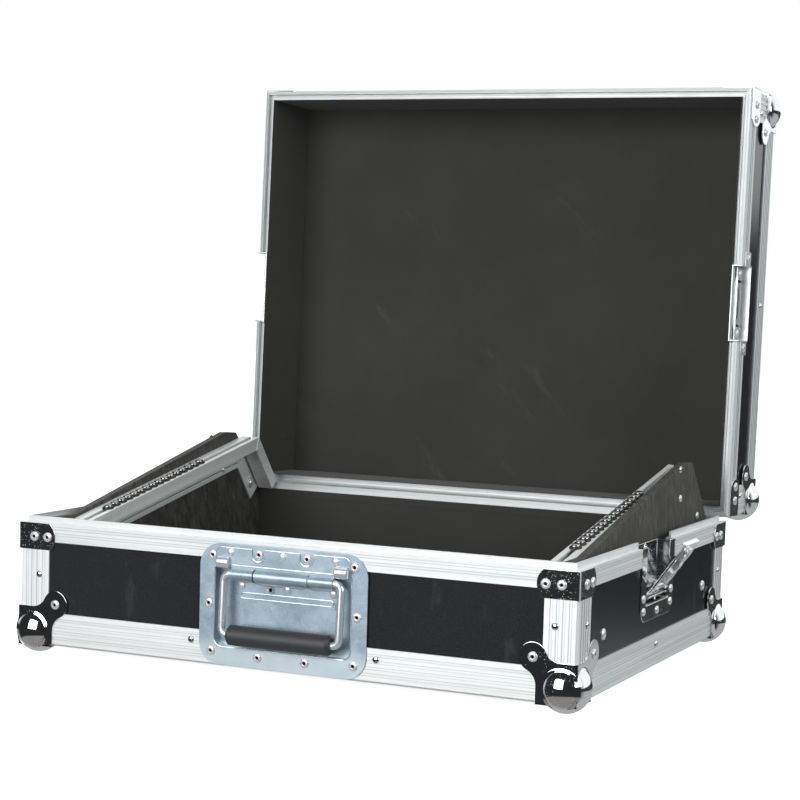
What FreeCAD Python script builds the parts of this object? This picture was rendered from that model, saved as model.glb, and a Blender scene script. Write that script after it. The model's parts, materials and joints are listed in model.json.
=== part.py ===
import FreeCAD, Part
import math
import os
import Sketcher
from types import SimpleNamespace

Vector = FreeCAD.Vector
Rotation = FreeCAD.Rotation

# Flight case for a sloping nineteen inch mixer, lid open on its rear hinges.
# Case coordinates: x from the middle, y back from the front face, z up from the base underside.
driving = dict(
    # whole case
    case_width=538,
    case_depth=423,
    base_height=111.5,
    lid_height=96.5,
    lid_gap=0.4,
    open_angle=92.5,
    # laminated board and foam
    panel_thick=6.5,
    lining_thick=2,
    # angle extrusion along the edges and corners
    leg_width=30,
    leg_wall=1.5,
    arris_radius=2,
    groove_first=6,
    groove_pitch=5.6,
    groove_width=2.2,
    groove_depth=0.4,
    # tongue and groove extrusion round the opening
    base_rim_drop=16.7,
    lid_rim_drop=26,
    rim_width=9.5,
    rim_skirt=9,
    skirt_clearance=0.1,
    tongue_near=4.5,
    tongue_thick=2.2,
    tongue_rise=5.5,
    channel_near=3.9,
    channel_width=3.4,
    channel_depth=6,
    lip_recess=4.5,
    rim_arris=3.5,
    lining_clearance=0.5,
    # ball corners
    ball_radius=21.5,
    ball_inset=12.8,
    ball_step=22.5,
    corner_thick=1.2,
    corner_square=35,
    lobe_centre=38,
    lobe_radius=12.5,
    lobe_hollow=14,
    # brackets round the rim corners
    bracket_arm=31,
    bracket_tip=37,
    base_bracket_height=24.3,
    lid_bracket_height=28,
    bracket_margin=0.2,
    lid_bracket_margin=6,
    # sprung handle in the front
    handle_width=162,
    handle_margin=3.5,
    handle_bottom=1,
    handle_thick=1.2,
    handle_corner=20,
    tray_side_flange=14.5,
    tray_low_flange=16,
    tray_high_flange=13,
    tray_corner=8,
    tray_depth=9,
    tray_clearance=0.5,
    rib_inset=20,
    rib_height=5,
    rib_rise=0.8,
    rib_below_barrel=23.8,
    strap_inset=1.5,
    strap_thick=1,
    strap_margin=3,
    strap_overlap=7,
    strap_corner=6,
    strap_notch=6.5,
    notch_offset=23.2,
    notch_below_top=4.3,
    barrel_below_tray=13,
    barrel_forward=2,
    barrel_radius=4.6,
    barrel_middle_half=26,
    barrel_middle_radius=5.6,
    barrel_end_gap=1,
    foot_height=14,
    ear_width=8,
    ear_height=7,
    ear_reach=4,
    wire_radius=3.5,
    wire_bend=6,
    wire_steps=2,
    arm_inset=9.8,
    grip_above_tray=12,
    bail_lean=3.2,
    grip_clearance=0.9,
    grip_radius=9,
    grip_round=2.4,
    running_clearance=0.05,
    press_clearance=0.02,
    # butterfly latches in the side walls
    dish_width=93.3,
    dish_bottom=44.8,
    dish_thick=1.2,
    dish_corner=12,
    recess_half=33,
    recess_bottom=59,
    recess_depth=12.8,
    notch_clearance=1.5,
    latch_pivot_level=66,
    latch_pivot_inset=5,
    latch_pin_radius=2,
    latch_tilt=35,
    arm_half=21,
    arm_thick=2,
    arm_rise=14.5,
    arm_barrel_radius=3.4,
    arm_window_half=12,
    arm_window_start=12,
    arm_window_length=10,
    hook_length=2.8,
    hook_thick=2,
    spindle_share=0.5833,
    spindle_radius=4.2,
    spindle_rise=0.8,
    wing_offset=12,
    wing_radius=9,
    wing_hole=4.2,
    wing_thick=2.4,
    wing_waist=4.5,
    wing_sides=24,
    eye_sides=16,
    # keepers in the lid
    keeper_width=75.3,
    keeper_height=34,
    keeper_thick=1.2,
    keeper_tab=13.3,
    keeper_tab_bottom=10,
    keeper_tab_height=20,
    catch_half=26,
    catch_reach=2.6,
    catch_thick=1.4,
    catch_clearance=0.8,
    cutout_clearance=0.5,
    # sloping boards and rails for the mixer
    board_gap=16,
    rack_rail_width=20.5,
    rack_board_thick=7.5,
    board_front=14,
    board_front_height=114.5,
    board_level_end=55,
    board_peak_front=335,
    board_peak_height=174.5,
    board_peak_length=23,
    board_peak_drop=1.5,
    board_rear_height=116,
    rack_clearance=0.6,
    rail_slope=10.15,
    rail_leg_angle=49.8,
    rail_front=39,
    rail_apex_back=52,
    rail_apex_height=168.4,
    rail_flange=30,
    rail_wall=2,
    rail_side_wall=1.8,
    rail_channel_depth=12.5,
    slot_width=5.5,
    slot_lip=5,
    # stop hinges at the back
    hinge_back=6.1,
    hinge_drop=2.8,
    hinge_offset=150,
    hinge_half=30,
    hinge_leaf=38,
    hinge_plate=1.6,
    hinge_radius=4,
    knuckle_sides=16,
    hinge_pin_radius=2,
    knuckle_half=10,
    knuckle_gap=0.3,
    stop_near=9,
    stop_length=4,
    stop_width=8,
    stop_root=16,
    stop_gap=0.05,
)


class Length:
    """A size with its expression text and its present value."""

    def __init__(self, text, value):
        self.text = text
        self.value = value

    def __add__(self, other):
        other = length(other)
        return Length(f"({self.text} + {other.text})", self.value + other.value)

    def __sub__(self, other):
        other = length(other)
        return Length(f"({self.text} - {other.text})", self.value - other.value)

    def __rsub__(self, other):
        return length(other) - self

    def __mul__(self, other):
        other = length(other)
        return Length(f"({self.text} * {other.text})", self.value * other.value)

    def __truediv__(self, other):
        other = length(other)
        return Length(f"({self.text} / {other.text})", self.value / other.value)

    def __neg__(self):
        return Length(f"(0 - {self.text})", -self.value)

    __radd__ = __add__
    __rmul__ = __mul__


def length(item):
    return item if isinstance(item, Length) else Length(str(item), item)


def sine(angle):
    return Length(f"sin({angle.text})", math.sin(math.radians(angle.value)))


def cosine(angle):
    return Length(f"cos({angle.text})", math.cos(math.radians(angle.value)))


def tangent(angle):
    return Length(f"tan({angle.text})", math.tan(math.radians(angle.value)))


def root(item):
    return Length(f"sqrt({item.text})", math.sqrt(item.value))


doc = FreeCAD.newDocument("FlightCase")
sheet = doc.addObject("Spreadsheet::Sheet", "Sizes")
for row, (word, number) in enumerate(driving.items(), start=1):
    sheet.set(f"A{row}", word)
    sheet.set(f"B{row}", str(number))
    sheet.setAlias(f"B{row}", word)
doc.recompute()
s = SimpleNamespace(**{word: Length("Sizes." + word, number) for word, number in driving.items()})
zero = length(0)


# Document objects bound to the sheet
def bind(item, **properties):
    for name, size in properties.items():
        size = length(size)
        setattr(item, name, size.value)
        item.setExpression(name, size.text)
    return item


def put(item, x, y, z, rotation=Rotation()):
    spot = [length(part) for part in (x, y, z)]
    item.Placement = FreeCAD.Placement(Vector(*[part.value for part in spot]), rotation)
    for letter, part in zip("xyz", spot):
        item.setExpression(f"Placement.Base.{letter}", part.text)
    return item


def turn(item, axis, angle):
    item.Placement = FreeCAD.Placement(item.Placement.Base, Rotation(axis, angle.value))
    item.setExpression("Placement.Rotation.Angle", angle.text)
    return item


def block(x, y, z):
    item = doc.addObject("Part::Box", "Block")
    bind(item, Length=x[1] - x[0], Width=y[1] - y[0], Height=z[1] - z[0])
    return put(item, x[0], y[0], z[0])


along = {
    "x": Rotation(Vector(0, 1, 0), 90),
    "y": Rotation(Vector(1, 0, 0), -90),
    "z": Rotation(),
}


def rod(axis, x, y, z, radius, reach):
    item = doc.addObject("Part::Cylinder", "Rod")
    bind(item, Radius=radius, Height=reach)
    return put(item, x, y, z, along[axis])


def facet_rod(axis, x, y, z, radius, reach, sides):
    """Rod with flat sides, its radius reaching to the corners."""
    item = doc.addObject("Part::Prism", "FacetRod")
    item.Polygon = driving[sides]
    bind(item, Circumradius=radius, Height=reach)
    return put(item, x, y, z, along[axis])


def cut(base, *tools):
    item = doc.addObject("Part::Cut", "Cut")
    item.Base = base
    item.Tool = tools[0] if len(tools) == 1 else fuse(*tools)
    return item


def fuse(*members):
    item = doc.addObject("Part::MultiFuse", "Joined")
    item.Shapes = list(members)
    return item


def common(*members):
    item = doc.addObject("Part::MultiCommon", "Shared")
    item.Shapes = list(members)
    return item


normals = {"x": Vector(1, 0, 0), "y": Vector(0, 1, 0), "z": Vector(0, 0, 1)}


def mirror(source, axis, plane=zero):
    item = doc.addObject("Part::Mirroring", "Mirrored")
    item.Source = source
    item.Normal = normals[axis]
    item.Base = normals[axis] * plane.value
    item.setExpression(f"Base.{axis}", plane.text)
    return item


# Bodies with sketched outlines, padded along the named axis
planes = {"x": "YZ_Plane", "y": "XZ_Plane", "z": "XY_Plane"}


def new_body(name):
    return doc.addObject("PartDesign::Body", name)


def new_sketch(body, axis, name):
    sketch = body.newObject("Sketcher::SketchObject", name)
    plane = next(item for item in body.Origin.OriginFeatures if item.Role == planes[axis])
    sketch.AttachmentSupport = [(plane, "")]
    sketch.MapMode = "FlatFace"
    return sketch


def round_outline(body, axis, centre, radius):
    sketch = new_sketch(body, axis, "Round")
    spot = Vector(centre[0].value, centre[1].value, 0)
    sketch.addGeometry(Part.Circle(spot, normals["z"], radius.value))
    rules = [
        (Sketcher.Constraint("Radius", 0, radius.value), radius),
        (Sketcher.Constraint("DistanceX", -1, 1, 0, 3, spot.x), centre[0]),
        (Sketcher.Constraint("DistanceY", -1, 1, 0, 3, spot.y), centre[1]),
    ]
    for constraint, size in rules:
        sketch.setExpression(f"Constraints[{sketch.addConstraint(constraint)}]", size.text)
    return sketch


def outline(body, axis, points, start):
    points = [(length(a), length(b)) for a, b in points]
    sketch = new_sketch(body, axis, "Outline")
    offset = -start if axis == "y" else start
    sketch.setExpression("AttachmentOffset.Base.z", offset.text)
    for first, second in zip(points, points[1:] + points[:1]):
        ends = [Vector(a.value, b.value, 0) for a, b in (first, second)]
        sketch.addGeometry(Part.LineSegment(*ends))
    for index, (a, b) in enumerate(points):
        following = (index + 1) % len(points)
        sketch.addConstraint(Sketcher.Constraint("Coincident", index, 2, following, 1))
        for kind, size in (("DistanceX", a), ("DistanceY", b)):
            rule = sketch.addConstraint(Sketcher.Constraint(kind, -1, 1, index, 1, size.value))
            sketch.setExpression(f"Constraints[{rule}]", size.text)
    return sketch


def pad(body, axis, points, start, reach):
    sketch = outline(body, axis, points, length(start))
    item = body.newObject("PartDesign::Pad", "Pad")
    item.Profile = sketch
    item.Reversed = axis == "y"
    bind(item, Length=reach)
    return body


def pocket(body, axis, points, start, reach):
    sketch = outline(body, axis, points, length(start))
    item = body.newObject("PartDesign::Pocket", "Pocket")
    item.Profile = sketch
    item.Reversed = axis != "y"
    bind(item, Length=reach)
    return body


def oblong(a, b):
    return [(a[0], b[0]), (a[1], b[0]), (a[1], b[1]), (a[0], b[1])]


def round_edges(body, axis, radius, accept):
    doc.recompute()
    sharp = body.Tip
    chosen = []
    for index, edge in enumerate(sharp.Shape.Edges, start=1):
        straight = edge.Curve.TypeId == "Part::GeomLine"
        if straight and abs(edge.Curve.Direction.dot(normals[axis])) > 0.999 and accept(edge.CenterOfMass):
            chosen.append(f"Edge{index}")
    item = body.newObject("PartDesign::Fillet", "Rounding")
    item.Base = (sharp, chosen)
    bind(item, Radius=radius)
    return body


# Levels and planes shared by the pieces
half = s.case_width / 2
lid_bottom = s.base_height + s.lid_gap
lid_top = lid_bottom + s.lid_height
panel_inner = s.leg_wall + s.panel_thick
lining_inner = panel_inner + s.lining_thick
middle = s.case_depth / 2
hinge_y = s.case_depth + s.hinge_back
hinge_z = s.base_height - s.hinge_drop
ball_out = s.ball_radius - s.ball_inset
handle_top = s.base_height - s.handle_margin
tray_width = s.handle_width - s.tray_side_flange * 2
tray_bottom = s.handle_bottom + s.tray_low_flange
tray_top = handle_top - s.tray_high_flange
strap_width = tray_width - s.strap_inset * 2
arm_offset = tray_width / 2 - s.arm_inset
barrel_level = tray_top - s.barrel_below_tray
grip_level = tray_bottom + s.grip_above_tray
bail_drop = barrel_level - grip_level
bail_y = -s.barrel_forward
grip_front = bail_y - bail_drop * sine(s.bail_lean) - s.grip_radius
lid_ball_y = (s.ball_inset - hinge_y) * cosine(s.open_angle)
lid_ball_z = (lid_top - s.ball_inset - hinge_z) * sine(s.open_angle)
lid_rear = hinge_y + lid_ball_y + lid_ball_z + s.ball_radius

# Frames: the base stands on its corners, the other pieces turn about their own axes
shift_y = -(grip_front + lid_rear) / 2
shift_z = ball_out


def frame_about(axis, angle, x, y, z):
    x, y, z = length(x), length(y), length(z)
    c, t = cosine(angle), sine(angle)
    if axis == "x":
        moved = (x, y * c - z * t, y * t + z * c)
    else:
        moved = (x * c + z * t, y, z * c - x * t)
    spot = (x - moved[0], shift_y + y - moved[1], shift_z + z - moved[2])
    return SimpleNamespace(axis=normals[axis], angle=angle, spot=spot)


base_frame = SimpleNamespace(axis=normals["x"], angle=None, spot=(zero, shift_y, shift_z))
lid_frame = frame_about("x", -s.open_angle, zero, hinge_y, hinge_z)
bail_frame = frame_about("x", -s.bail_lean, zero, bail_y, barrel_level)
latch_x = half - s.latch_pivot_inset
right_latch_frame = frame_about("y", s.latch_tilt, latch_x, middle, s.latch_pivot_level)
left_latch_frame = frame_about("y", -s.latch_tilt, -latch_x, middle, s.latch_pivot_level)
apex_y = s.case_depth - s.rail_apex_back

nodes = []


def node(name, members, frame=base_frame):
    item = doc.addObject("Part::Compound", name)
    item.Label = name
    item.Links = list(members)
    put(item, *frame.spot)
    if frame.angle is not None:
        turn(item, frame.axis, frame.angle)
    nodes.append(item)
    return item


def both_sides(name, right_members, frame=base_frame):
    members = list(right_members)
    return node(name, members + [mirror(item, "x") for item in members], frame)


def four_corners(name, corner, frame=base_frame):
    ahead = [corner, mirror(corner, "x")]
    return node(name, ahead + [mirror(item, "y", middle) for item in ahead], frame)


# Laminated panels of the base, with the openings for the tray and the latch dishes
inner_x = half - s.leg_wall
panel_top = s.base_height - s.leg_wall
floor_top = s.leg_wall + s.panel_thick
floor_body = new_body("FloorPanel")
floor_plan = oblong((-inner_x, inner_x), (s.leg_wall, s.case_depth - s.leg_wall))
pad(floor_body, "z", floor_plan, s.leg_wall, s.panel_thick)
node("base_floor_panel", [floor_body])

tray_outer = tray_width / 2 + s.handle_thick
tray_low = tray_bottom - s.handle_thick
tray_high = tray_top + s.handle_thick
tray_x = (-tray_outer - s.tray_clearance, tray_outer + s.tray_clearance)
tray_z = (tray_low - s.tray_clearance, tray_high + s.tray_clearance)
front_body = new_body("FrontPanel")
pad(front_body, "y", oblong((-inner_x, inner_x), (floor_top, panel_top)), s.leg_wall, s.panel_thick)
back_body = mirror(front_body, "y", middle)
tray_way = block(tray_x, (zero, lining_inner + s.handle_thick), tray_z)
node("base_front_panel", [cut(front_body, tray_way)])
node("base_back_panel", [back_body])

side_y = (panel_inner, s.case_depth - panel_inner)
dish_box_half = s.recess_half + s.dish_thick
dish_box_bottom = s.recess_bottom - s.dish_thick
dish_way_y = (middle - dish_box_half - s.cutout_clearance, middle + dish_box_half + s.cutout_clearance)
side_body = new_body("SidePanel")
pad(side_body, "x", oblong(side_y, (floor_top, panel_top)), inner_x - s.panel_thick, s.panel_thick)
pocket(side_body, "x", oblong(dish_way_y, (dish_box_bottom - s.cutout_clearance, panel_top)),
       inner_x - s.panel_thick, s.panel_thick)
node("base_right_panel", [side_body])
node("base_left_panel", [mirror(side_body, "x")])

# Foam lining of the base
lining_x = half - panel_inner
lining_top = s.base_height - s.rim_skirt - s.lining_clearance
floor_lining = new_body("FloorLining")
pad(floor_lining, "z", oblong((-lining_x, lining_x), side_y), floor_top, s.lining_thick)
node("base_floor_lining", [floor_lining])
lining_bottom = floor_top + s.lining_thick
front_lining = block((-lining_x, lining_x), (panel_inner, lining_inner), (lining_bottom, lining_top))
side_lining = block((lining_x - s.lining_thick, lining_x), (lining_inner, s.case_depth - lining_inner),
                    (lining_bottom, lining_top))
side_lining = cut(side_lining, block((lining_x - s.lining_thick, lining_x), dish_way_y,
                                     (dish_box_bottom - s.cutout_clearance, lining_top)))
node("base_wall_lining", [
    cut(front_lining, tray_way),
    mirror(front_lining, "y", middle),
    side_lining,
    mirror(side_lining, "x"),
])


# Angle extrusion with shallow grooves along both legs
def grooves(start, finish, at):
    """Groove corners on a face, as offsets along it, between a start and a finish."""
    count = int((finish.value - start.value - s.groove_width.value) // s.groove_pitch.value) + 1
    corners = []
    for index in range(count):
        near = start + s.groove_pitch * index
        far = near + s.groove_width
        corners += [(near, at), (near, at + s.groove_depth), (far, at + s.groove_depth), (far, at)]
    return corners


def angle_section():
    """Section points from the outer arris, inward and upward."""
    run = grooves(s.groove_first, s.leg_width - s.groove_pitch / 2, zero)
    section = [(zero, s.arris_radius), (s.arris_radius, zero)] + run
    section += [(s.leg_width, zero), (s.leg_width, s.leg_wall), (s.leg_wall, s.leg_wall)]
    section += [(s.leg_wall, s.leg_width), (zero, s.leg_width)]
    return section + [(b, a) for a, b in reversed(run)]


def mitred_pair(name, section, low, height, width):
    """Front bar and right bar of one frame, mitred in plan at their ends."""
    front = new_body(name + "Front")
    pad(front, "x", [(u, low + v) for u, v in section], -half, s.case_width)
    for side in (-1, 1):
        corner = half * side
        tip = (half - width) * side
        pocket(front, "z", [(corner, zero), (tip, width), (corner, width)], low, height)
    right = new_body(name + "Side")
    pad(right, "y", [(half - u, low + v) for u, v in section], zero, s.case_depth)
    for start, finish in ((zero, width), (s.case_depth, s.case_depth - width)):
        pocket(right, "z", [(half, start), (half - width, finish), (half - width, start)], low, height)
    return front, right


front_edge, right_edge = mitred_pair("Edge", angle_section(), zero, s.leg_width, s.leg_width)
back_edge = mirror(front_edge, "y", middle)
node("base_front_edge", [cut(front_edge, tray_way)])
node("base_back_edge", [back_edge])
both_sides("base_side_edges", [right_edge])

post_plan = [(-half + u, v) for u, v in angle_section()]
base_post = new_body("BasePost")
rim_low = s.base_height - s.base_rim_drop
pad(base_post, "z", post_plan, s.leg_width, rim_low - s.leg_width)
four_corners("base_corner_posts", base_post)

# Base rim: outer leg, ledge with its tongue, and the skirt inside the panel
tongue_far = s.tongue_near + s.tongue_thick
skirt_near = panel_inner + s.skirt_clearance
rim_run = grooves(s.groove_first, s.base_rim_drop - s.groove_pitch / 2, zero)
base_rim_section = [(zero, zero)] + [(b, a) for a, b in rim_run]
base_rim_section += [
    (zero, s.base_rim_drop),
    (s.tongue_near, s.base_rim_drop),
    (s.tongue_near, s.base_rim_drop + s.tongue_rise),
    (tongue_far, s.base_rim_drop + s.tongue_rise),
    (tongue_far, s.base_rim_drop),
    (s.rim_width, s.base_rim_drop),
    (s.rim_width, s.base_rim_drop - s.rim_skirt),
    (skirt_near, s.base_rim_drop - s.rim_skirt),
    (skirt_near, s.base_rim_drop - s.leg_wall),
    (s.leg_wall, s.base_rim_drop - s.leg_wall),
    (s.leg_wall, zero),
]
front_rim, right_rim = mitred_pair("BaseRim", base_rim_section, rim_low,
                                   s.base_rim_drop + s.tongue_rise, s.rim_width)
notch_half = s.dish_width / 2 + s.notch_clearance
rim_notch = block((half - s.rim_width, half), (middle - notch_half, middle + notch_half),
                  (rim_low, s.base_height + s.tongue_rise))
notched_rim = cut(right_rim, rim_notch)
node("base_front_rim", [cut(front_rim, tray_way)])
node("base_back_rim", [mirror(front_rim, "y", middle)])
node("base_right_rim", [notched_rim])
node("base_left_rim", [mirror(notched_rim, "x")])

# Lid rim: outer leg with a rounded arris, the channel that takes the tongue, and an inner lip
channel_far = s.channel_near + s.channel_width
lid_rim_run = grooves(s.groove_first + s.groove_pitch, s.lid_rim_drop - s.groove_pitch / 2, zero)
arris_steps = [s.rim_arris * (1 - math.sin(math.radians(turned))) for turned in (0, 30, 60, 90)]
arris = list(zip(reversed(arris_steps), arris_steps))
lid_rim_section = arris + [
    (s.channel_near, zero),
    (s.channel_near, s.channel_depth),
    (channel_far, s.channel_depth),
    (channel_far, s.lip_recess),
    (s.rim_width, s.lip_recess),
    (s.rim_width, s.channel_depth + s.rim_skirt),
    (skirt_near, s.channel_depth + s.rim_skirt),
    (skirt_near, s.channel_depth + s.leg_wall),
    (s.leg_wall, s.channel_depth + s.leg_wall),
    (s.leg_wall, s.lid_rim_drop),
    (zero, s.lid_rim_drop),
]
lid_rim_section += [(b, a) for a, b in reversed(lid_rim_run)]
lid_front_rim, lid_right_rim = mitred_pair("LidRim", lid_rim_section, lid_bottom,
                                           s.lid_rim_drop, s.rim_width)
keeper_half = s.keeper_width / 2
keeper_way_y = (middle - keeper_half - s.cutout_clearance, middle + keeper_half + s.cutout_clearance)
lid_notch = block((half - s.rim_width, half), keeper_way_y, (lid_bottom, lid_bottom + s.lid_rim_drop))
notched_lid_rim = cut(lid_right_rim, lid_notch)
node("lid_front_rim", [lid_front_rim], lid_frame)
node("lid_back_rim", [mirror(lid_front_rim, "y", middle)], lid_frame)
node("lid_right_rim", [notched_lid_rim], lid_frame)
node("lid_left_rim", [mirror(notched_lid_rim, "x")], lid_frame)

# Edges and posts of the lid
flip = lid_top / 2
node("lid_front_edge", [mirror(front_edge, "z", flip)], lid_frame)
node("lid_back_edge", [mirror(back_edge, "z", flip)], lid_frame)
both_sides("lid_side_edges", [mirror(right_edge, "z", flip)], lid_frame)
lid_post = new_body("LidPost")
lid_post_low = lid_bottom + s.lid_rim_drop
pad(lid_post, "z", post_plan, lid_post_low, s.lid_height - s.lid_rim_drop - s.leg_width)
four_corners("lid_corner_posts", lid_post, lid_frame)

# Panels and lining of the lid
lid_panel_low = lid_bottom + s.channel_depth + s.leg_wall
lid_ceiling = lid_top - s.leg_wall - s.panel_thick
top_body = new_body("TopPanel")
pad(top_body, "z", floor_plan, lid_ceiling, s.panel_thick)
node("lid_top_panel", [top_body], lid_frame)
lid_front_body = new_body("LidFrontPanel")
pad(lid_front_body, "y", oblong((-inner_x, inner_x), (lid_panel_low, lid_ceiling)),
    s.leg_wall, s.panel_thick)
node("lid_front_panel", [lid_front_body], lid_frame)
node("lid_back_panel", [mirror(lid_front_body, "y", middle)], lid_frame)
keeper_top = lid_bottom + s.keeper_height
lid_side_body = new_body("LidSidePanel")
pad(lid_side_body, "x", oblong(side_y, (lid_panel_low, lid_ceiling)),
    inner_x - s.panel_thick, s.panel_thick)
pocket(lid_side_body, "x", oblong(keeper_way_y, (lid_panel_low, keeper_top + s.cutout_clearance)),
       inner_x - s.panel_thick, s.panel_thick)
node("lid_right_panel", [lid_side_body], lid_frame)
node("lid_left_panel", [mirror(lid_side_body, "x")], lid_frame)

lid_lining_low = lid_bottom + s.channel_depth + s.rim_skirt + s.lining_clearance
lid_lining_high = lid_ceiling - s.lining_thick
ceiling_lining = block((-lining_x, lining_x), side_y, (lid_lining_high, lid_ceiling))
lid_front_lining = block((-lining_x, lining_x), (panel_inner, lining_inner),
                         (lid_lining_low, lid_lining_high))
lid_side_lining = block((lining_x - s.lining_thick, lining_x),
                        (lining_inner, s.case_depth - lining_inner), (lid_lining_low, lid_lining_high))
lid_side_lining = cut(lid_side_lining, block((lining_x - s.lining_thick, lining_x), keeper_way_y,
                                             (lid_lining_low, keeper_top + s.cutout_clearance)))
node("lid_lining", [
    ceiling_lining,
    lid_front_lining,
    mirror(lid_front_lining, "y", middle),
    lid_side_lining,
    mirror(lid_side_lining, "x"),
], lid_frame)

# Ball corners: a ball on three flanges, each a square with a rounded lobe between two hollows
hollow_far = s.corner_square + s.lobe_hollow
hollow_rise = hollow_far - s.lobe_centre
hollow_reach = s.lobe_hollow + s.lobe_radius
hollow_run = root(hollow_reach * hollow_reach - hollow_rise * hollow_rise)
hollow_near = s.lobe_centre - hollow_run
tangent_way = (hollow_run / hollow_reach, -hollow_rise / hollow_reach)


def arc(centre, radius, first, second, steps):
    """Points round a centre from one direction to another, the first one left out."""
    points = []
    for step in range(1, steps + 1):
        a = first[0] * (steps - step) + second[0] * step
        b = first[1] * (steps - step) + second[1] * step
        reach = radius / root(a * a + b * b)
        points.append((centre[0] + a * reach, centre[1] + b * reach))
    return points


def flange_outline():
    up, ahead, down = (zero, length(1)), (length(1), zero), (zero, length(-1))
    lobe = (s.lobe_centre, s.lobe_centre)
    rising = arc((hollow_near, hollow_far), s.lobe_hollow, down, tangent_way, 2)
    crest = arc(lobe, s.lobe_radius, (-tangent_way[0], -tangent_way[1]), up, 2)
    crown = arc(lobe, s.lobe_radius, up, ahead, 4)
    half_way = [(hollow_near, s.corner_square)] + rising + crest
    mirrored = [(b, a) for a, b in reversed(half_way)]
    edge = -s.corner_thick
    return [(edge, edge), (edge, s.corner_square)] + half_way + crown[:-1] + mirrored + [
        (s.corner_square, edge)]


flange = flange_outline()
flange_plan = [(-half + a, b) for a, b in flange]
under_flange = pad(new_body("UnderFlange"), "z", flange_plan, -s.corner_thick, s.corner_thick)
front_flange = pad(new_body("FrontFlange"), "y", flange_plan, -s.corner_thick, s.corner_thick)
side_flange = pad(new_body("SideFlange"), "x", flange, -half - s.corner_thick, s.corner_thick)


def ball_prism(angle, sides):
    """Prism lying across the ball, turned about the vertical axis."""
    prism = doc.addObject("Part::Prism", "BallPrism")
    prism.Polygon = sides
    bind(prism, Circumradius=s.ball_radius, Height=s.ball_radius * 4)
    x = -half + s.ball_inset + s.ball_radius * 2 * sine(angle)
    y = s.ball_inset - s.ball_radius * 2 * cosine(angle)
    return put(prism, x, y, s.ball_inset, Rotation(normals["z"], angle.value).multiply(along["y"]))


ball_steps = round(180 / driving["ball_step"])
ball = common(*[ball_prism(s.ball_step * step, ball_steps * 2) for step in range(ball_steps)])
corner_block = block((-half, zero), (zero, middle), (zero, s.base_height))
corner_solid = fuse(under_flange, front_flange, side_flange, cut(ball, corner_block))
four_corners("base_ball_corners", corner_solid)
four_corners("lid_ball_corners", mirror(corner_solid, "z", flip), lid_frame)


# Brackets that hold the mitred rim corners
def rim_bracket(low, height):
    bulge = s.bracket_tip - s.bracket_arm
    radius = (height * height / 4 + bulge * bulge) / (bulge * 2)
    arm_x = (-half - s.corner_thick, -half + s.bracket_arm)
    arm_y = (-s.corner_thick, s.bracket_arm)
    level = (low, low + height)
    centre = s.bracket_tip - radius
    round_x = common(rod("y", -half + centre, -s.corner_thick, low + height / 2, radius, s.corner_thick),
                     block((-half, -half + s.bracket_tip), (-s.corner_thick, zero), level))
    round_y = common(rod("x", -half - s.corner_thick, centre, low + height / 2, radius, s.corner_thick),
                     block((-half - s.corner_thick, -half), (zero, s.bracket_tip), level))
    inside = block((-half, zero), (zero, middle), level)
    return cut(fuse(block(arm_x, arm_y, level), round_x, round_y), inside)


base_bracket_low = s.base_height - s.bracket_margin - s.base_bracket_height
four_corners("base_rim_brackets", rim_bracket(base_bracket_low, s.base_bracket_height))
lid_bracket = rim_bracket(lid_bottom + s.lid_bracket_margin, s.lid_bracket_height)
four_corners("lid_rim_brackets", lid_bracket, lid_frame)

# Handle tray in the front wall
handle_x = (-s.handle_width / 2, s.handle_width / 2)
handle_z = (s.handle_bottom, handle_top)
tray = new_body("HandleTray")
pad(tray, "y", oblong(handle_x, handle_z), -s.handle_thick, s.handle_thick)
round_edges(tray, "y", s.handle_corner, lambda centre: True)
pad(tray, "y", oblong((-tray_outer, tray_outer), (tray_low, tray_high)),
    -s.handle_thick, s.tray_depth + s.handle_thick * 2)
open_x = (-tray_width / 2, tray_width / 2)
open_z = (tray_bottom, tray_top)
pocket(tray, "y", oblong(open_x, open_z), -s.handle_thick, s.tray_depth + s.handle_thick)
round_edges(tray, "y", s.tray_corner,
            lambda centre: abs(abs(centre.x) - open_x[1].value) < s.running_clearance.value)
rib_x = (-tray_width / 2 + s.rib_inset, tray_width / 2 - s.rib_inset)
rib_low = barrel_level - s.rib_below_barrel
pad(tray, "y", oblong(rib_x, (rib_low, rib_low + s.rib_height)),
    s.tray_depth - s.rib_rise, s.rib_rise)
node("handle_tray", [tray])

# Hinge strap of the handle: top flange, rolled barrel, web and foot on the tray floor
strap_x = (-strap_width / 2, strap_width / 2)
strap_front = -s.handle_thick - s.strap_thick
strap_bottom = tray_top - s.strap_overlap
strap_top = handle_top - s.strap_margin
notch_level = strap_top - s.notch_below_top
strap = new_body("Strap")
pad(strap, "y", oblong(strap_x, (strap_bottom, strap_top)), strap_front, s.strap_thick)
round_edges(strap, "y", s.strap_corner, lambda centre: centre.z > notch_level.value)
strap_notches = []
for side in (-1, 1):
    centre_x = s.notch_offset * side
    strap_notches.append(rod("y", centre_x, strap_front, notch_level, s.strap_notch, s.strap_thick))
    strap_notches.append(block((centre_x - s.strap_notch, centre_x + s.strap_notch),
                               (strap_front, -s.handle_thick), (notch_level, strap_top)))
straight = arm_offset - s.wire_bend
barrel_half = straight - s.barrel_end_gap
barrel_x = (-barrel_half, barrel_half)
ears = []
for side in (-1, 1):
    outer = strap_width / 2 * side
    near = outer if side < 0 else outer - s.ear_width
    ears.append(block((near, near + s.ear_width), (strap_front - s.ear_reach, strap_front),
                      (strap_bottom, strap_bottom + s.ear_height)))
foot_top = barrel_level - s.barrel_radius + s.strap_thick / 2
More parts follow.
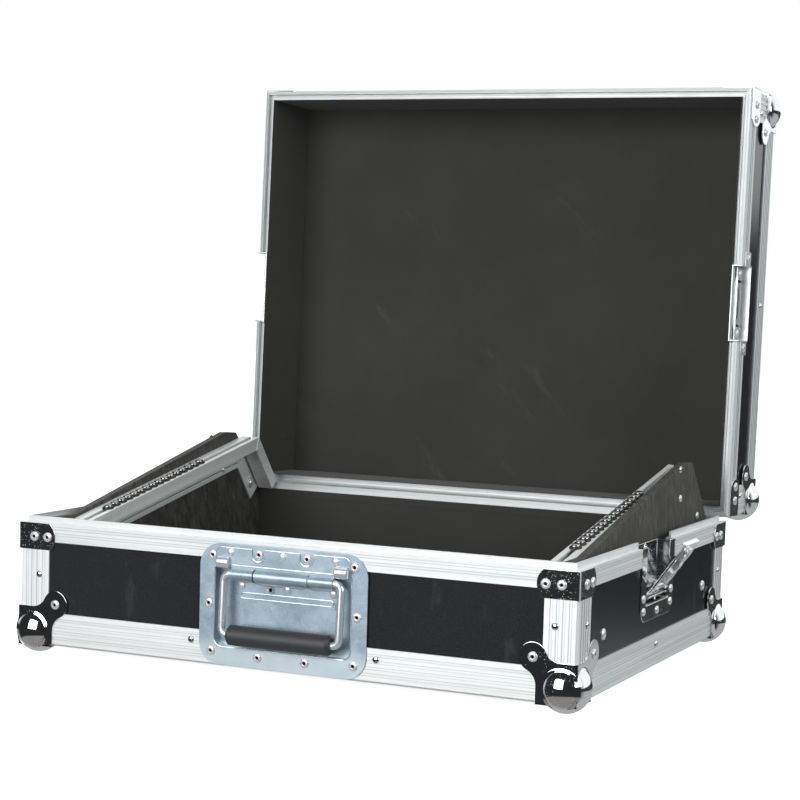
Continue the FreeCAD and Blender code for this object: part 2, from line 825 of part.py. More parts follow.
hinge_strap = fuse(
    cut(strap, *strap_notches),
    block(barrel_x, (strap_front, -s.handle_thick), (barrel_level, strap_bottom)),
    rod("x", -barrel_half, bail_y, barrel_level, s.barrel_radius, barrel_half * 2),
    rod("x", -s.barrel_middle_half, bail_y, barrel_level, s.barrel_middle_radius,
        s.barrel_middle_half * 2),
    block(barrel_x, (bail_y, s.tray_depth), (foot_top - s.strap_thick, foot_top)),
    block(barrel_x, (s.tray_depth - s.strap_thick, s.tray_depth), (foot_top - s.foot_height, foot_top)),
    *ears,
)
bore = rod("x", -barrel_half, bail_y, barrel_level, s.wire_radius + s.running_clearance,
           barrel_half * 2)
node("handle_strap", [cut(hinge_strap, bore)])


# Bail wire and its grip, modelled hanging straight down, each bend taken in equal mitred steps
def bend_points(centre, start):
    """Points of a quarter bend in the wire's path, from a starting angle in degrees."""
    points = []
    for step in range(driving["wire_steps"] + 1):
        angle = length(90) * step / s.wire_steps + start
        points.append((centre[0] + s.wire_bend * cosine(angle), centre[1] + s.wire_bend * sine(angle)))
    return points


bend_high = barrel_level - s.wire_bend
bend_low = grip_level + s.wire_bend
wire_path = [(zero, barrel_level)]
wire_path += bend_points((-straight, bend_high), 90)
wire_path += bend_points((-straight, bend_low), 180)
wire_path += bend_points((straight, bend_low), 270)
wire_path += bend_points((straight, bend_high), 0)
wire = new_body("BailWire")
path = outline(wire, "y", wire_path, bail_y)
bent = wire.newObject("PartDesign::AdditivePipe", "Bent")
bent.Profile = round_outline(wire, "x", (bail_y, barrel_level), s.wire_radius)
bent.Spine = (path, [f"Edge{index + 1}" for index in range(len(wire_path))])
bent.Transition = "Right corner"
node("handle_bail", [wire], bail_frame)

grip = new_body("Grip")
grip_bore = s.wire_radius + s.press_clearance
grip_end = straight - s.grip_clearance
grip_points = [
    (-grip_end, grip_bore),
    (-grip_end, s.grip_radius - s.grip_round),
    (s.grip_round - grip_end, s.grip_radius),
    (grip_end - s.grip_round, s.grip_radius),
    (grip_end, s.grip_radius - s.grip_round),
    (grip_end, grip_bore),
]
grip_sketch = outline(grip, "y", grip_points, zero)
grip_turn = grip.newObject("PartDesign::Revolution", "Turned")
grip_turn.Profile = grip_sketch
grip_axis = next(item for item in grip.Origin.OriginFeatures if item.Role == "X_Axis")
grip_turn.ReferenceAxis = (grip_axis, [""])
grip_turn.Angle = 360
put(grip, zero, bail_y, grip_level)
node("handle_grip", [grip], bail_frame)

# Latch dish: plate on the wall, open recess that reaches the parting plane, and its pivot pin
dish_y = (middle - s.dish_width / 2, middle + s.dish_width / 2)
dish_face = inner_x + s.dish_thick
dish = new_body("LatchDish")
pad(dish, "x", oblong(dish_y, (s.dish_bottom, s.base_height)), inner_x, s.dish_thick)
low_edge = s.dish_bottom.value + s.dish_corner.value
round_edges(dish, "x", s.dish_corner, lambda centre: centre.z < low_edge)
dish_floor = half - s.recess_depth
pad(dish, "x", oblong((middle - dish_box_half, middle + dish_box_half), (dish_box_bottom, s.base_height)),
    dish_floor - s.dish_thick, dish_face - dish_floor + s.dish_thick)
pocket(dish, "x", oblong((middle - s.recess_half, middle + s.recess_half),
                         (s.recess_bottom, s.base_height)), dish_floor, dish_face - dish_floor)


def latch_rod(radius, start, reach):
    return rod("y", latch_x, start, s.latch_pivot_level, radius, reach)


node("right_latch_dish", [dish])
node("left_latch_dish", [mirror(dish, "x")])
both_sides("latch_pivot_pins", [latch_rod(s.latch_pin_radius, middle - s.recess_half, s.recess_half * 2)])

# Latch arm, modelled shut: hinge barrel, windowed plate and the hook lip at its end
arm_y = (middle - s.arm_half, middle + s.arm_half)
arm_top = s.base_height + s.arm_rise
arm_plate = block((latch_x, latch_x + s.arm_thick), arm_y, (s.latch_pivot_level, arm_top))
arm_hook = block((latch_x - s.hook_length, latch_x), arm_y, (arm_top - s.hook_thick, arm_top))
window_low = s.latch_pivot_level + s.arm_window_start
arm_window = block((latch_x, latch_x + s.arm_thick),
                   (middle - s.arm_window_half, middle + s.arm_window_half),
                   (window_low, window_low + s.arm_window_length))
arm_barrel = latch_rod(s.arm_barrel_radius, middle - s.arm_half, s.arm_half * 2)
spindle_z = s.latch_pivot_level + (arm_top - s.latch_pivot_level) * s.spindle_share
wing_back = latch_x + s.arm_thick + s.running_clearance
arm_bore = latch_rod(s.latch_pin_radius + s.running_clearance, middle - s.arm_half, s.arm_half * 2)
right_arm = cut(fuse(arm_plate, arm_hook, arm_barrel), arm_window, arm_bore)
node("right_latch_arm", [right_arm], right_latch_frame)
node("left_latch_arm", [mirror(right_arm, "x")], left_latch_frame)


# Butterfly wing with two eyes, turning about its middle boss
def wing_disc(rise, radius, sides):
    return facet_rod("x", wing_back, middle, spindle_z + rise, radius, s.wing_thick, sides)


wing_bar = block((wing_back, wing_back + s.wing_thick), (middle - s.wing_waist, middle + s.wing_waist),
                 (spindle_z - s.wing_offset, spindle_z + s.wing_offset))
wing_boss = rod("x", wing_back, middle, spindle_z, s.spindle_radius, s.wing_thick + s.spindle_rise)
right_wing = cut(
    fuse(wing_bar, wing_disc(s.wing_offset, s.wing_radius, "wing_sides"),
         wing_disc(-s.wing_offset, s.wing_radius, "wing_sides"), wing_boss),
    wing_disc(s.wing_offset, s.wing_hole, "eye_sides"),
    wing_disc(-s.wing_offset, s.wing_hole, "eye_sides"),
)
node("right_latch_wing", [right_wing], right_latch_frame)
node("left_latch_wing", [mirror(right_wing, "x")], left_latch_frame)

# Keeper in the lid: a box open towards the base, end tabs, and the catch under the hook
keeper_floor = half - s.rim_width
keeper_front = half + s.keeper_thick
keeper_outer = block((keeper_floor, keeper_front), (middle - keeper_half, middle + keeper_half),
                     (lid_bottom, keeper_top))
tab_y = (middle - keeper_half - s.keeper_tab, middle + keeper_half + s.keeper_tab)
tab_low = lid_bottom + s.keeper_tab_bottom
keeper_tabs = block((half, keeper_front), tab_y, (tab_low, tab_low + s.keeper_tab_height))
keeper_hollow = block((keeper_floor + s.keeper_thick, keeper_front),
                      (middle - keeper_half + s.keeper_thick, middle + keeper_half - s.keeper_thick),
                      (lid_bottom, keeper_top - s.keeper_thick))
catch_top = arm_top - s.hook_thick - s.catch_clearance
catch = block((keeper_floor, keeper_floor + s.keeper_thick + s.catch_reach),
              (middle - s.catch_half, middle + s.catch_half), (catch_top - s.catch_thick, catch_top))
right_keeper = fuse(cut(fuse(keeper_outer, keeper_tabs), keeper_hollow), catch)
node("right_latch_keeper", [right_keeper], lid_frame)
node("left_latch_keeper", [mirror(right_keeper, "x")], lid_frame)

# Side boards that carry the sloping rails
board_inner = half - s.board_gap - s.rack_board_thick
rack_half = board_inner - s.rack_rail_width
board_rear = s.case_depth - lining_inner - s.rack_clearance
board = new_body("RackBoard")
board_peak_rear = s.board_peak_front + s.board_peak_length
pad(board, "x", [
    (s.board_front, lining_bottom),
    (board_rear, lining_bottom),
    (board_rear, s.board_rear_height),
    (board_peak_rear, s.board_peak_height - s.board_peak_drop),
    (s.board_peak_front, s.board_peak_height),
    (s.board_level_end, s.board_front_height),
    (s.board_front, s.board_front_height),
], board_inner, s.rack_board_thick)
node("right_rack_board", [board])
node("left_rack_board", [mirror(board, "x")])

# Slotted rail section, from the board inward and down from the top face
slot_near = rack_half + s.slot_lip
slot_far = slot_near + s.slot_width
cavity_far = slot_far + s.rail_wall * 2
rail_section = [
    (board_inner, zero),
    (slot_far, zero),
    (slot_far, -s.rail_wall),
    (cavity_far, -s.rail_wall),
    (cavity_far, s.rail_side_wall - s.rail_channel_depth),
    (rack_half + s.rail_side_wall, s.rail_side_wall - s.rail_channel_depth),
    (rack_half + s.rail_side_wall, -s.rail_wall),
    (slot_near, -s.rail_wall),
    (slot_near, zero),
    (rack_half, zero),
    (rack_half, -s.rail_channel_depth),
    (cavity_far + s.rail_side_wall, -s.rail_channel_depth),
    (cavity_far + s.rail_side_wall, -s.rail_wall),
    (board_inner - s.rail_side_wall, -s.rail_wall),
    (board_inner - s.rail_side_wall, -s.rail_flange),
    (board_inner, -s.rail_flange),
]
mitre = (s.rail_slope + s.rail_leg_angle) / 2
mitre_reach = s.rail_flange * tangent(mitre)
rail_length = (apex_y - s.rail_front) / cosine(s.rail_slope)
rail_leg_length = (board_rear - apex_y) / cosine(s.rail_leg_angle)
long_rail = new_body("LongRail")
pad(long_rail, "y", rail_section, -rail_length, rail_length)
pocket(long_rail, "x", [(zero, zero), (zero, -s.rail_flange), (-mitre_reach, -s.rail_flange)],
       rack_half, s.rack_rail_width)
turn(put(long_rail, zero, apex_y, s.rail_apex_height), normals["x"], s.rail_slope)
rail_leg = new_body("RailLeg")
pad(rail_leg, "y", rail_section, zero, rail_leg_length)
pocket(rail_leg, "x", [(zero, zero), (zero, -s.rail_flange), (mitre_reach, -s.rail_flange)],
       rack_half, s.rack_rail_width)
turn(put(rail_leg, zero, apex_y, s.rail_apex_height), normals["x"], -s.rail_leg_angle)
node("right_rack_rail", [long_rail, rail_leg])
node("left_rack_rail", [mirror(long_rail, "x"), mirror(rail_leg, "x")])

# Stop hinges behind the case: leaves, knuckles and the shoulder that holds the lid open
leaf_x = (s.hinge_offset - s.hinge_half, s.hinge_offset + s.hinge_half)
leaf_y = (s.case_depth, s.case_depth + s.hinge_plate)
knuckle_near = s.hinge_offset - s.knuckle_half
knuckle_far = s.hinge_offset + s.knuckle_half
end_length = s.hinge_half - s.knuckle_half


def knuckle(start, reach):
    return facet_rod("x", start, hinge_y, hinge_z, s.hinge_radius, reach, "knuckle_sides")


def knuckle_web(start, reach, low, high):
    return block((start, start + reach), (s.case_depth, hinge_y), (low, high))


def hinge_rod(radius):
    return rod("x", knuckle_near, hinge_y, hinge_z, radius, s.knuckle_half * 2)


def stop_spot(rise):
    """Point just under the outer face of the open lid leaf, at a distance up that leaf."""
    face = s.hinge_back - s.hinge_plate - s.stop_gap
    back = rise * sine(s.open_angle) - face * cosine(s.open_angle)
    up = face * sine(s.open_angle) + rise * cosine(s.open_angle)
    return hinge_y + back, hinge_z + up


def shoulder(start):
    item = new_body("Shoulder")
    plate_face = s.case_depth + s.hinge_plate
    return pad(item, "x", [
        (plate_face, hinge_z - s.stop_root * 2),
        stop_spot(s.stop_near + s.stop_length),
        stop_spot(s.stop_near),
        (plate_face, hinge_z - s.stop_root),
    ], start, s.stop_width)


leaf_low = hinge_z - s.hinge_leaf
base_leaf = fuse(
    block(leaf_x, leaf_y, (leaf_low, hinge_z - s.hinge_drop)),
    knuckle(leaf_x[0], end_length),
    knuckle(knuckle_far, end_length),
    knuckle_web(leaf_x[0], end_length, hinge_z - s.hinge_radius, hinge_z - s.hinge_radius / 2),
    knuckle_web(knuckle_far, end_length, hinge_z - s.hinge_radius, hinge_z - s.hinge_radius / 2),
    shoulder(leaf_x[0]),
    shoulder(leaf_x[1] - s.stop_width),
)
both_sides("base_hinge_leaves", [base_leaf])
both_sides("hinge_pins", [hinge_rod(s.hinge_pin_radius)])
lid_knuckle_near = knuckle_near + s.knuckle_gap
lid_knuckle_length = (s.knuckle_half - s.knuckle_gap) * 2
lid_leaf_low = lid_bottom + s.lid_gap
lid_leaf = cut(
    fuse(
        block(leaf_x, leaf_y, (lid_leaf_low, lid_leaf_low + s.hinge_leaf)),
        knuckle(lid_knuckle_near, lid_knuckle_length),
        knuckle_web(lid_knuckle_near, lid_knuckle_length, hinge_z + s.hinge_radius / 2,
                    hinge_z + s.hinge_radius),
    ),
    hinge_rod(s.hinge_pin_radius + s.running_clearance),
)
both_sides("lid_hinge_leaves", [lid_leaf], lid_frame)

# Rebuild, check every object and write one file for each node
doc.recompute()
for item in doc.Objects:
    if "Invalid" in item.State or "Error" in item.State:
        raise RuntimeError(f"{item.Name} did not build: {item.State}")
    shape = getattr(item, "Shape", None)
    if shape is not None and item.TypeId not in ("App::Origin", "App::Plane", "App::Line", "App::Point"):
        if shape.isNull() or not shape.isValid():
            raise RuntimeError(f"{item.Name} has no valid shape")
os.makedirs("parts", exist_ok=True)
for item in nodes:
    item.Shape.exportStep(f"parts/{item.Label}.step")
print(f"{len(nodes)} nodes written")
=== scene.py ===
import math
import random

import bmesh
import bpy
from mathutils import Matrix, Vector, noise
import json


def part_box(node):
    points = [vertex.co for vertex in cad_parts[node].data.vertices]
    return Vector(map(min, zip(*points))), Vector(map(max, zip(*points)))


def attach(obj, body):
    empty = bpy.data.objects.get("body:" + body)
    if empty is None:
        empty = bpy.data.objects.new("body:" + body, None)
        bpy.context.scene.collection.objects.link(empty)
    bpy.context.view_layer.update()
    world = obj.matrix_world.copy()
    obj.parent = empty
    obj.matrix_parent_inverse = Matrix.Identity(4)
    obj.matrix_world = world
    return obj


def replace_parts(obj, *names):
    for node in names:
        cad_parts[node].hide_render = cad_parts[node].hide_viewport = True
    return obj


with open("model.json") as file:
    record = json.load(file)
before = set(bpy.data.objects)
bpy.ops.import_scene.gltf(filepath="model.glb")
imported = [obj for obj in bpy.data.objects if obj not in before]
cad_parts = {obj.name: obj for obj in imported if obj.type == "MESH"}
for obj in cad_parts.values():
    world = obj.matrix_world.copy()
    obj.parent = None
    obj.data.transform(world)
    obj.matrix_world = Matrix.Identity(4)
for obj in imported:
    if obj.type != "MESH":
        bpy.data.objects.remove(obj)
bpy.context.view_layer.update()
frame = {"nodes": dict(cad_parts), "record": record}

# camera, in metres and degrees
cameraView = {"place": (0.8260, -1.8636, 0.3567), "azimuth": 24.287, "elevation": 5.673, "roll": 1.667,
              "focalPixels": 2107, "imagePixels": 800, "shiftUp": 0.1, "nearest": 0.05}


def makeCamera(view):
    azimuth, elevation, roll = (math.radians(view[k]) for k in ("azimuth", "elevation", "roll"))
    back = Vector((math.sin(azimuth) * math.cos(elevation), -math.cos(azimuth) * math.cos(elevation),
                   math.sin(elevation)))
    right = (-back).cross(Vector((0, 0, 1))).normalized()
    up = right.cross(-back)
    rolledRight = right * math.cos(roll) + up * math.sin(roll)
    rolledUp = up * math.cos(roll) - right * math.sin(roll)
    data = bpy.data.cameras.new("camera")
    data.lens = view["focalPixels"] / view["imagePixels"] * data.sensor_width
    data.shift_y = view["shiftUp"]
    data.clip_start = view["nearest"]
    camera = bpy.data.objects.new("camera", data)
    camera.matrix_world = Matrix.Translation(view["place"]) @ Matrix(
        (rolledRight, rolledUp, back)).transposed().to_4x4()
    bpy.context.scene.collection.objects.link(camera)
    bpy.context.scene.camera = camera


makeCamera(cameraView)
print("camera placed")

# places taken from the frame: case coordinates are millimetres from the front bottom middle
frontLow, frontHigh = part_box("base_front_edge")
halfWidth = frontHigh.x * 1000
caseDepth = (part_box("base_back_edge")[1].y - frontLow.y) * 1000
joints = {joint["name"]: joint for joint in frame["record"]["behaviour"]["joints"]}
hingePlace = Vector(joints["lid_hinge"]["pos_m"])
openAngle = math.radians(joints["lid_hinge"]["range_deg"][1])
caseLook = {"bracketGap": 0.2, "lidGap": 0.4, "lidHeight": 96.5, "panel": 8.0, "railSlope": 10.15}
caseMiddle = caseDepth / 2
rimTop = (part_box("base_rim_brackets")[1].z - frontLow.z) * 1000 + caseLook["bracketGap"]
caseMatrix = Matrix.Translation((0, frontLow.y, frontLow.z)) @ Matrix.Scale(0.001, 4)
lidTurn = (Matrix.Translation(hingePlace) @ Matrix.Rotation(-openAngle, 4, "X")
           @ Matrix.Translation(-hingePlace))
lidMatrix = lidTurn @ caseMatrix
lidLow = rimTop + caseLook["lidGap"]
lidTop = lidLow + caseLook["lidHeight"]


# shader maths
class Signal:
    def __init__(self, finish, socket):
        self.finish, self.socket = finish, socket

    def maths(self, operation, first, second=0.0):
        return self.finish.add("ShaderNodeMath", {"operation": operation}, {0: first, 1: second})[0]

    def __add__(self, other):
        return self.maths("ADD", self, other)

    def __sub__(self, other):
        return self.maths("SUBTRACT", self, other)

    def __rsub__(self, other):
        return self.maths("SUBTRACT", other, self)

    def __mul__(self, other):
        return self.maths("MULTIPLY", self, other)

    __radd__ = __add__
    __rmul__ = __mul__

    def between(self, low, high):
        settings = {"clamp": True, "interpolation_type": "SMOOTHSTEP"}
        values = {"Value": self, "From Min": low, "From Max": high}
        return self.finish.add("ShaderNodeMapRange", settings, values)[0]

    def size(self):
        return self.maths("ABSOLUTE", self)

    def least(self, other):
        return self.maths("MINIMUM", self, other)


class Outputs:
    def __init__(self, finish, node):
        self.finish, self.node = finish, node

    def __getitem__(self, key):
        return Signal(self.finish, self.node.outputs[key])


class Shading:
    def __init__(self, owner, shader):
        owner.use_nodes = True
        self.tree = owner.node_tree
        self.shader = self.tree.nodes[shader]

    def feed(self, socket, value):
        if isinstance(value, Signal):
            self.tree.links.new(value.socket, socket)
        elif isinstance(value, tuple) and len(value) == 3 and socket.type == "RGBA":
            socket.default_value = (*value, 1)
        else:
            socket.default_value = value

    def add(self, kind, settings, values):
        node = self.tree.nodes.new(kind)
        for key, value in settings.items():
            setattr(node, key, value)
        for key, value in values.items():
            self.feed(node.inputs[key], value)
        return Outputs(self, node)

    def mix(self, factor, first, second):
        settings = {"data_type": "RGBA", "clamp_factor": True}
        return self.add("ShaderNodeMix", settings, {0: factor, 6: first, 7: second})[2]


class Finish(Shading):
    def __init__(self, name, constants):
        self.material = bpy.data.materials.new(name)
        super().__init__(self.material, "Principled BSDF")
        for key, value in constants.items():
            self.feed(self.shader.inputs[key], value)

    def place(self, scale=(1, 1, 1), turn=(0, 0, 0)):
        spot = self.add("ShaderNodeTexCoord", {}, {})["Object"]
        stretch = tuple(1 / v for v in scale)
        return self.add("ShaderNodeMapping", {"vector_type": "TEXTURE"},
                        {"Vector": spot, "Rotation": turn, "Scale": stretch})[0]

    def level(self, matrix, axis):
        # one case coordinate in millimetres
        row = matrix.inverted()[axis]
        spot = self.add("ShaderNodeTexCoord", {}, {})["Object"]
        settings = {"operation": "DOT_PRODUCT"}
        return self.add("ShaderNodeVectorMath", settings, {0: spot, 1: tuple(row[:3])})["Value"] + row[3]

    def cloud(self, spot, size, detail=3.0, rough=0.5):
        values = {"Vector": spot, "Scale": size, "Detail": detail, "Roughness": rough}
        return self.add("ShaderNodeTexNoise", {}, values)[0]

    def cells(self, spot, size):
        return self.add("ShaderNodeTexVoronoi", {}, {"Vector": spot, "Scale": size})["Distance"]

    def bump(self, height, distance, strength=1.0):
        values = {"Height": height, "Distance": distance, "Strength": strength}
        self.feed(self.shader.inputs["Normal"], self.add("ShaderNodeBump", {}, values)[0])

    def paint(self, **values):
        names = {"colour": "Base Color", "roughness": "Roughness", "metallic": "Metallic"}
        for key, value in values.items():
            self.feed(self.shader.inputs[names[key]], value)


laminateLook = {"dark": (0.0105, 0.0115, 0.0125), "pale": (0.0325, 0.035, 0.0375),
                "scuffed": (0.06, 0.06, 0.062), "grain": 1300, "scuff": 55, "rough": 0.08, "depth": 0.0001,
                "specular": 0.22}


def makeLaminate():
    look = laminateLook
    finish = Finish("blackLaminate", {"Specular IOR Level": look["specular"]})
    spot = finish.place()
    grain = finish.cloud(spot, look["grain"], 2.0)
    pits = finish.cells(spot, look["grain"] * 0.55)
    scuffs = finish.cloud(finish.place((1, 1, 0.3)), look["scuff"], 6.0, 0.7).between(0.56, 0.8)
    colour = finish.mix(grain.between(0.3, 0.75), look["dark"], look["pale"])
    colour = finish.mix(scuffs * 0.5, colour, look["scuffed"])
    finish.paint(colour=colour, roughness=grain * 0.1 + look["rough"] + scuffs * 0.1)
    finish.bump(grain * 0.6 + pits * 0.4, look["depth"], 0.4)
    return finish.material


# first and count are the grooves' start and number on a bar and round a rim; the groove walls get painted shade
grooveLook = {"pitch": 5.6, "width": 2.2, "blur": (0.12, 0.65), "dirt": 0.38, "ends": (0.6, 3.0), "soft": 0.1,
              "first": 6, "count": 4, "rimFirst": 100.8, "lidRimFirst": 11.6, "rimCount": 2}


# painted shade: dark lines along the groove walls, standing in for the shade that falls in the grooves
def grooveShade(level, first, count):
    pitch, soft = grooveLook["pitch"], grooveLook["soft"]
    shifted = level - first + pitch * 50
    along = shifted.maths("MODULO", shifted, pitch)
    wall = along.least(pitch - along).least((along - grooveLook["width"]).size())
    start, end = first - grooveLook["ends"][0], first + pitch * count - grooveLook["ends"][1]
    inside = level.between(start - soft, start + soft) * (1 - level.between(end - soft, end + soft))
    return (1 - wall.between(*grooveLook["blur"])) * inside


# painted shade: the base rims and the lid's edges and rims take darker copies of the same aluminium tint, standing
# in for the weaker light on them
extrusionLook = {"tint": (0.885, 0.915, 0.918), "rimTint": (0.79, 0.825, 0.828), "lidTint": (0.78, 0.815, 0.815),
                 "railTint": (0.9, 0.93, 0.92), "rough": 0.4, "railRough": 0.42, "metallic": 0.55,
                 "bands": 260, "fine": 1500, "stain": 28, "drawn": 0.012, "depth": 0.00005}


def makeExtrusion(name, scale, turn=(0, 0, 0), tint="tint", rough="rough", lines=None):
    look = extrusionLook
    finish = Finish(name, {"Metallic": look["metallic"]})
    bands = finish.cloud(finish.place(tuple(v * look["bands"] for v in scale), turn), 1.0, 4.0, 0.65)
    fine = finish.cloud(finish.place(tuple(v * look["fine"] for v in scale), turn), 1.0, 2.0)
    stains = finish.cloud(finish.place(), look["stain"], 5.0, 0.6).between(0.42, 0.8)
    darker, stained, grooveShadeColour = (tuple(v * share for v in look[tint]) for share in (0.86, 0.72, 0.3))
    colour = finish.mix(bands.between(0.3, 0.7), darker, look[tint])
    colour = finish.mix(stains * 0.22, colour, stained)
    # painted shade along the grooves, mixed over the colour
    for level, first, count in lines(finish) if lines else ():
        dirt = grooveShade(level, first, count) * (0.7 + fine * 0.6) * grooveLook["dirt"]
        colour = finish.mix(dirt, colour, grooveShadeColour)
    finish.paint(colour=colour, roughness=bands * 0.14 + fine * 0.08 + look[rough] + stains * 0.06)
    finish.bump(bands * 0.7 + fine * 0.3, look["depth"], 0.5)
    return finish.material


chromeLook = {"dull": (0.78, 0.79, 0.8), "bright": (0.9, 0.905, 0.91), "wear": 120, "worn": 45, "nick": 420,
              "pit": 620, "scratches": (60, 1600, 900), "rough": 0.02, "depth": 0.00008}


def makeChrome(name, pitted):
    look = chromeLook
    finish = Finish(name, {"Metallic": 1.0})
    spot = finish.place()
    wear = finish.cloud(spot, look["wear"], 6.0, 0.65)
    lines = finish.cloud(finish.place(look["scratches"], (0.4, 0.3, 0.7)), 1.0, 2.0).between(0.64, 0.72)
    worn = finish.cloud(spot, look["worn"], 3.0).between(0.5, 0.65)
    nicks = (1 - finish.cells(spot, look["nick"]).between(0.1, 0.2)) * worn
    patches = finish.cloud(spot, 80, 3.0).between(0.36, 0.5)
    pits = (1 - finish.cells(spot, look["pit"]).between(0.13, 0.21)) * patches * pitted
    colour = finish.mix(wear.between(0.35, 0.7), look["dull"], look["bright"])
    finish.paint(colour=colour, metallic=1 - pits,
                 roughness=wear * 0.08 + lines * worn * 0.35 + nicks * 0.4 + pits * 0.4 + look["rough"])
    finish.bump(wear * 0.5 + lines * 0.12, look["depth"], 0.3)
    return finish.material


zincLook = {"dark": (0.28, 0.38, 0.45), "pale": (0.42, 0.53, 0.6), "rubbed": (0.62, 0.71, 0.77),
            "lower": (0.68, 0.81, 0.85), "lowerTop": (16, 34), "cloud": 55, "speckle": 900, "rub": 30,
            "metallic": 0.6, "rough": 0.24, "depth": 0.00008}


def makeZinc():
    look = zincLook
    finish = Finish("blueZinc", {"Metallic": look["metallic"]})
    spot = finish.place()
    cloudy = finish.cloud(spot, look["cloud"], 5.0, 0.6)
    speckle = finish.cloud(spot, look["speckle"], 3.0, 0.6)
    rubbed = finish.cloud(finish.place((1, 1, 3)), look["rub"], 6.0, 0.7).between(0.52, 0.75)
    mottle = (cloudy * 0.6 + speckle * 0.4).between(0.36, 0.64)
    colour = finish.mix(mottle, look["dark"], look["pale"])
    colour = finish.mix(rubbed * 0.5, colour, look["rubbed"])
    # painted light: the lower flange is painted paler, standing in for light bounced up from the floor
    height = finish.level(caseMatrix, 2) + cloudy * 8
    colour = finish.mix((1 - height.between(*look["lowerTop"])) * 0.8, colour, look["lower"])
    finish.paint(colour=colour, roughness=cloudy * 0.15 + speckle * 0.12 + look["rough"])
    finish.bump(speckle * 0.6 + cloudy * 0.4, look["depth"], 0.5)
    return finish.material


foamFinish = {"dark": (0.036, 0.037, 0.034), "pale": (0.052, 0.053, 0.049), "rubbed": (0.08, 0.081, 0.076),
              "cell": 1300, "fine": 700, "patch": 9, "strokes": (6, 6, 26), "rough": 0.82, "depth": 0.0002}


def makeFoam():
    look = foamFinish
    finish = Finish("closedCellFoam", {"Specular IOR Level": 0.25, "Sheen Weight": 0.12, "Sheen Roughness": 0.6})
    spot = finish.place()
    cellular = finish.cells(spot, look["cell"])
    fine = finish.cloud(spot, look["fine"], 4.0, 0.6)
    patches = finish.cloud(spot, look["patch"], 6.0, 0.62).between(0.3, 0.75)
    strokes = finish.cloud(finish.place(look["strokes"], (0.3, 0.9, 0.5)), 1.0, 7.0, 0.72).between(0.6, 0.72)
    colour = finish.mix(patches * 0.6 + fine * 0.4, look["dark"], look["pale"])
    colour = finish.mix(strokes * 0.42, colour, look["rubbed"])
    finish.paint(colour=colour, roughness=look["rough"] + fine * 0.12 - strokes * 0.1)
    finish.bump(cellular * 0.5 + fine * 0.5, look["depth"], 0.45)
    return finish.material


boardLook = {"dark": (0.024, 0.024, 0.021), "pale": (0.102, 0.1, 0.09), "stain": (0.022, 0.022, 0.02),
             "streaks": (170, 170, 50), "lean": 0.3, "blotch": 38, "rough": 0.5, "depth": 0.0002}


def makeBoard():
    look = boardLook
    finish = Finish("stainedBoard", {"Specular IOR Level": 0.4})
    streaks = finish.cloud(finish.place(look["streaks"], (look["lean"], 0, 0)), 1.0, 8.0, 0.78)
    blotches = finish.cloud(finish.place(), look["blotch"], 6.0, 0.68)
    colour = finish.mix(streaks.between(0.34, 0.7), look["dark"], look["pale"])
    colour = finish.mix(blotches.between(0.46, 0.68) * 0.6, colour, look["stain"])
    finish.paint(colour=colour, roughness=look["rough"] + streaks * 0.25)
    finish.bump(streaks, look["depth"], 0.5)
    return finish.material


def makePlain(name, dark, pale, metallic, rough, size=600, depth=0.00006, specular=0.5):
    finish = Finish(name, {"Metallic": metallic, "Specular IOR Level": specular})
    spot = finish.place()
    mottle = finish.cloud(spot, size, 4.0, 0.6)
    broad = finish.cloud(spot, size / 12, 3.0)
    finish.paint(colour=finish.mix(mottle * 0.5 + broad * 0.5, dark, pale), roughness=mottle * 0.16 + rough)
    finish.bump(mottle, depth, 0.5)
    return finish.material


def acrossLevel(finish, matrix):
    return halfWidth - finish.level(matrix, 0).size()


def deepLevel(finish, matrix):
    return caseMiddle - (finish.level(matrix, 1) - caseMiddle).size()


# grooves of the bars along an edge, round a rim and up a corner
barGrooves = grooveLook["first"], grooveLook["count"]


def baseBars(sideLevel):
    rimGrooves = grooveLook["rimFirst"], grooveLook["rimCount"]
    return lambda finish: [(finish.level(caseMatrix, 2), *barGrooves),
                           (finish.level(caseMatrix, 2), *rimGrooves),
                           (sideLevel(finish, caseMatrix), *barGrooves)]


def lidBars(sideLevel):
    rimGrooves = grooveLook["lidRimFirst"], grooveLook["rimCount"]
    return lambda finish: [(lidTop - finish.level(lidMatrix, 2), *barGrooves),
                           (finish.level(lidMatrix, 2) - lidLow, *rimGrooves),
                           (sideLevel(finish, lidMatrix), *barGrooves)]


def posts(matrix):
    return lambda finish: [(acrossLevel(finish, matrix), *barGrooves),
                           (deepLevel(finish, matrix), *barGrooves)]


drawn = extrusionLook["drawn"]
drawnAcross, drawnAlong, drawnUp = (drawn, 1, 1), (1, drawn, 1), (1, 1, drawn)
noTurn, lidTilt = (0, 0, 0), (math.pi / 2 - openAngle, 0, 0)
railTilt = (math.radians(caseLook["railSlope"]), 0, 0)
laminate = makeLaminate()
alloyAcross = makeExtrusion("extrusionAcross", drawnAcross, lines=baseBars(deepLevel))
rimAcross = makeExtrusion("rimExtrusionAcrossShaded", drawnAcross, noTurn, "rimTint", lines=baseBars(deepLevel))
alloyAlong = makeExtrusion("extrusionAlong", drawnAlong, lines=baseBars(acrossLevel))
alloyUp = makeExtrusion("extrusionUp", drawnUp, lines=posts(caseMatrix))
lidAcross = makeExtrusion("lidExtrusionAcrossShaded", drawnAcross, noTurn, "lidTint", lines=lidBars(deepLevel))
lidAlong = makeExtrusion("lidExtrusionAlongShaded", drawnUp, lidTilt, "lidTint", lines=lidBars(acrossLevel))
lidUp = makeExtrusion("lidExtrusionUp", drawnAlong, lidTilt, lines=posts(lidMatrix))
railAlloy = makeExtrusion("railAlloy", drawnAlong, railTilt, "railTint", "railRough")
chrome = makeChrome("chromePlate", 0.0)
pittedChrome = makeChrome("pittedChrome", 0.7)
zinc = makeZinc()
foam = makeFoam()
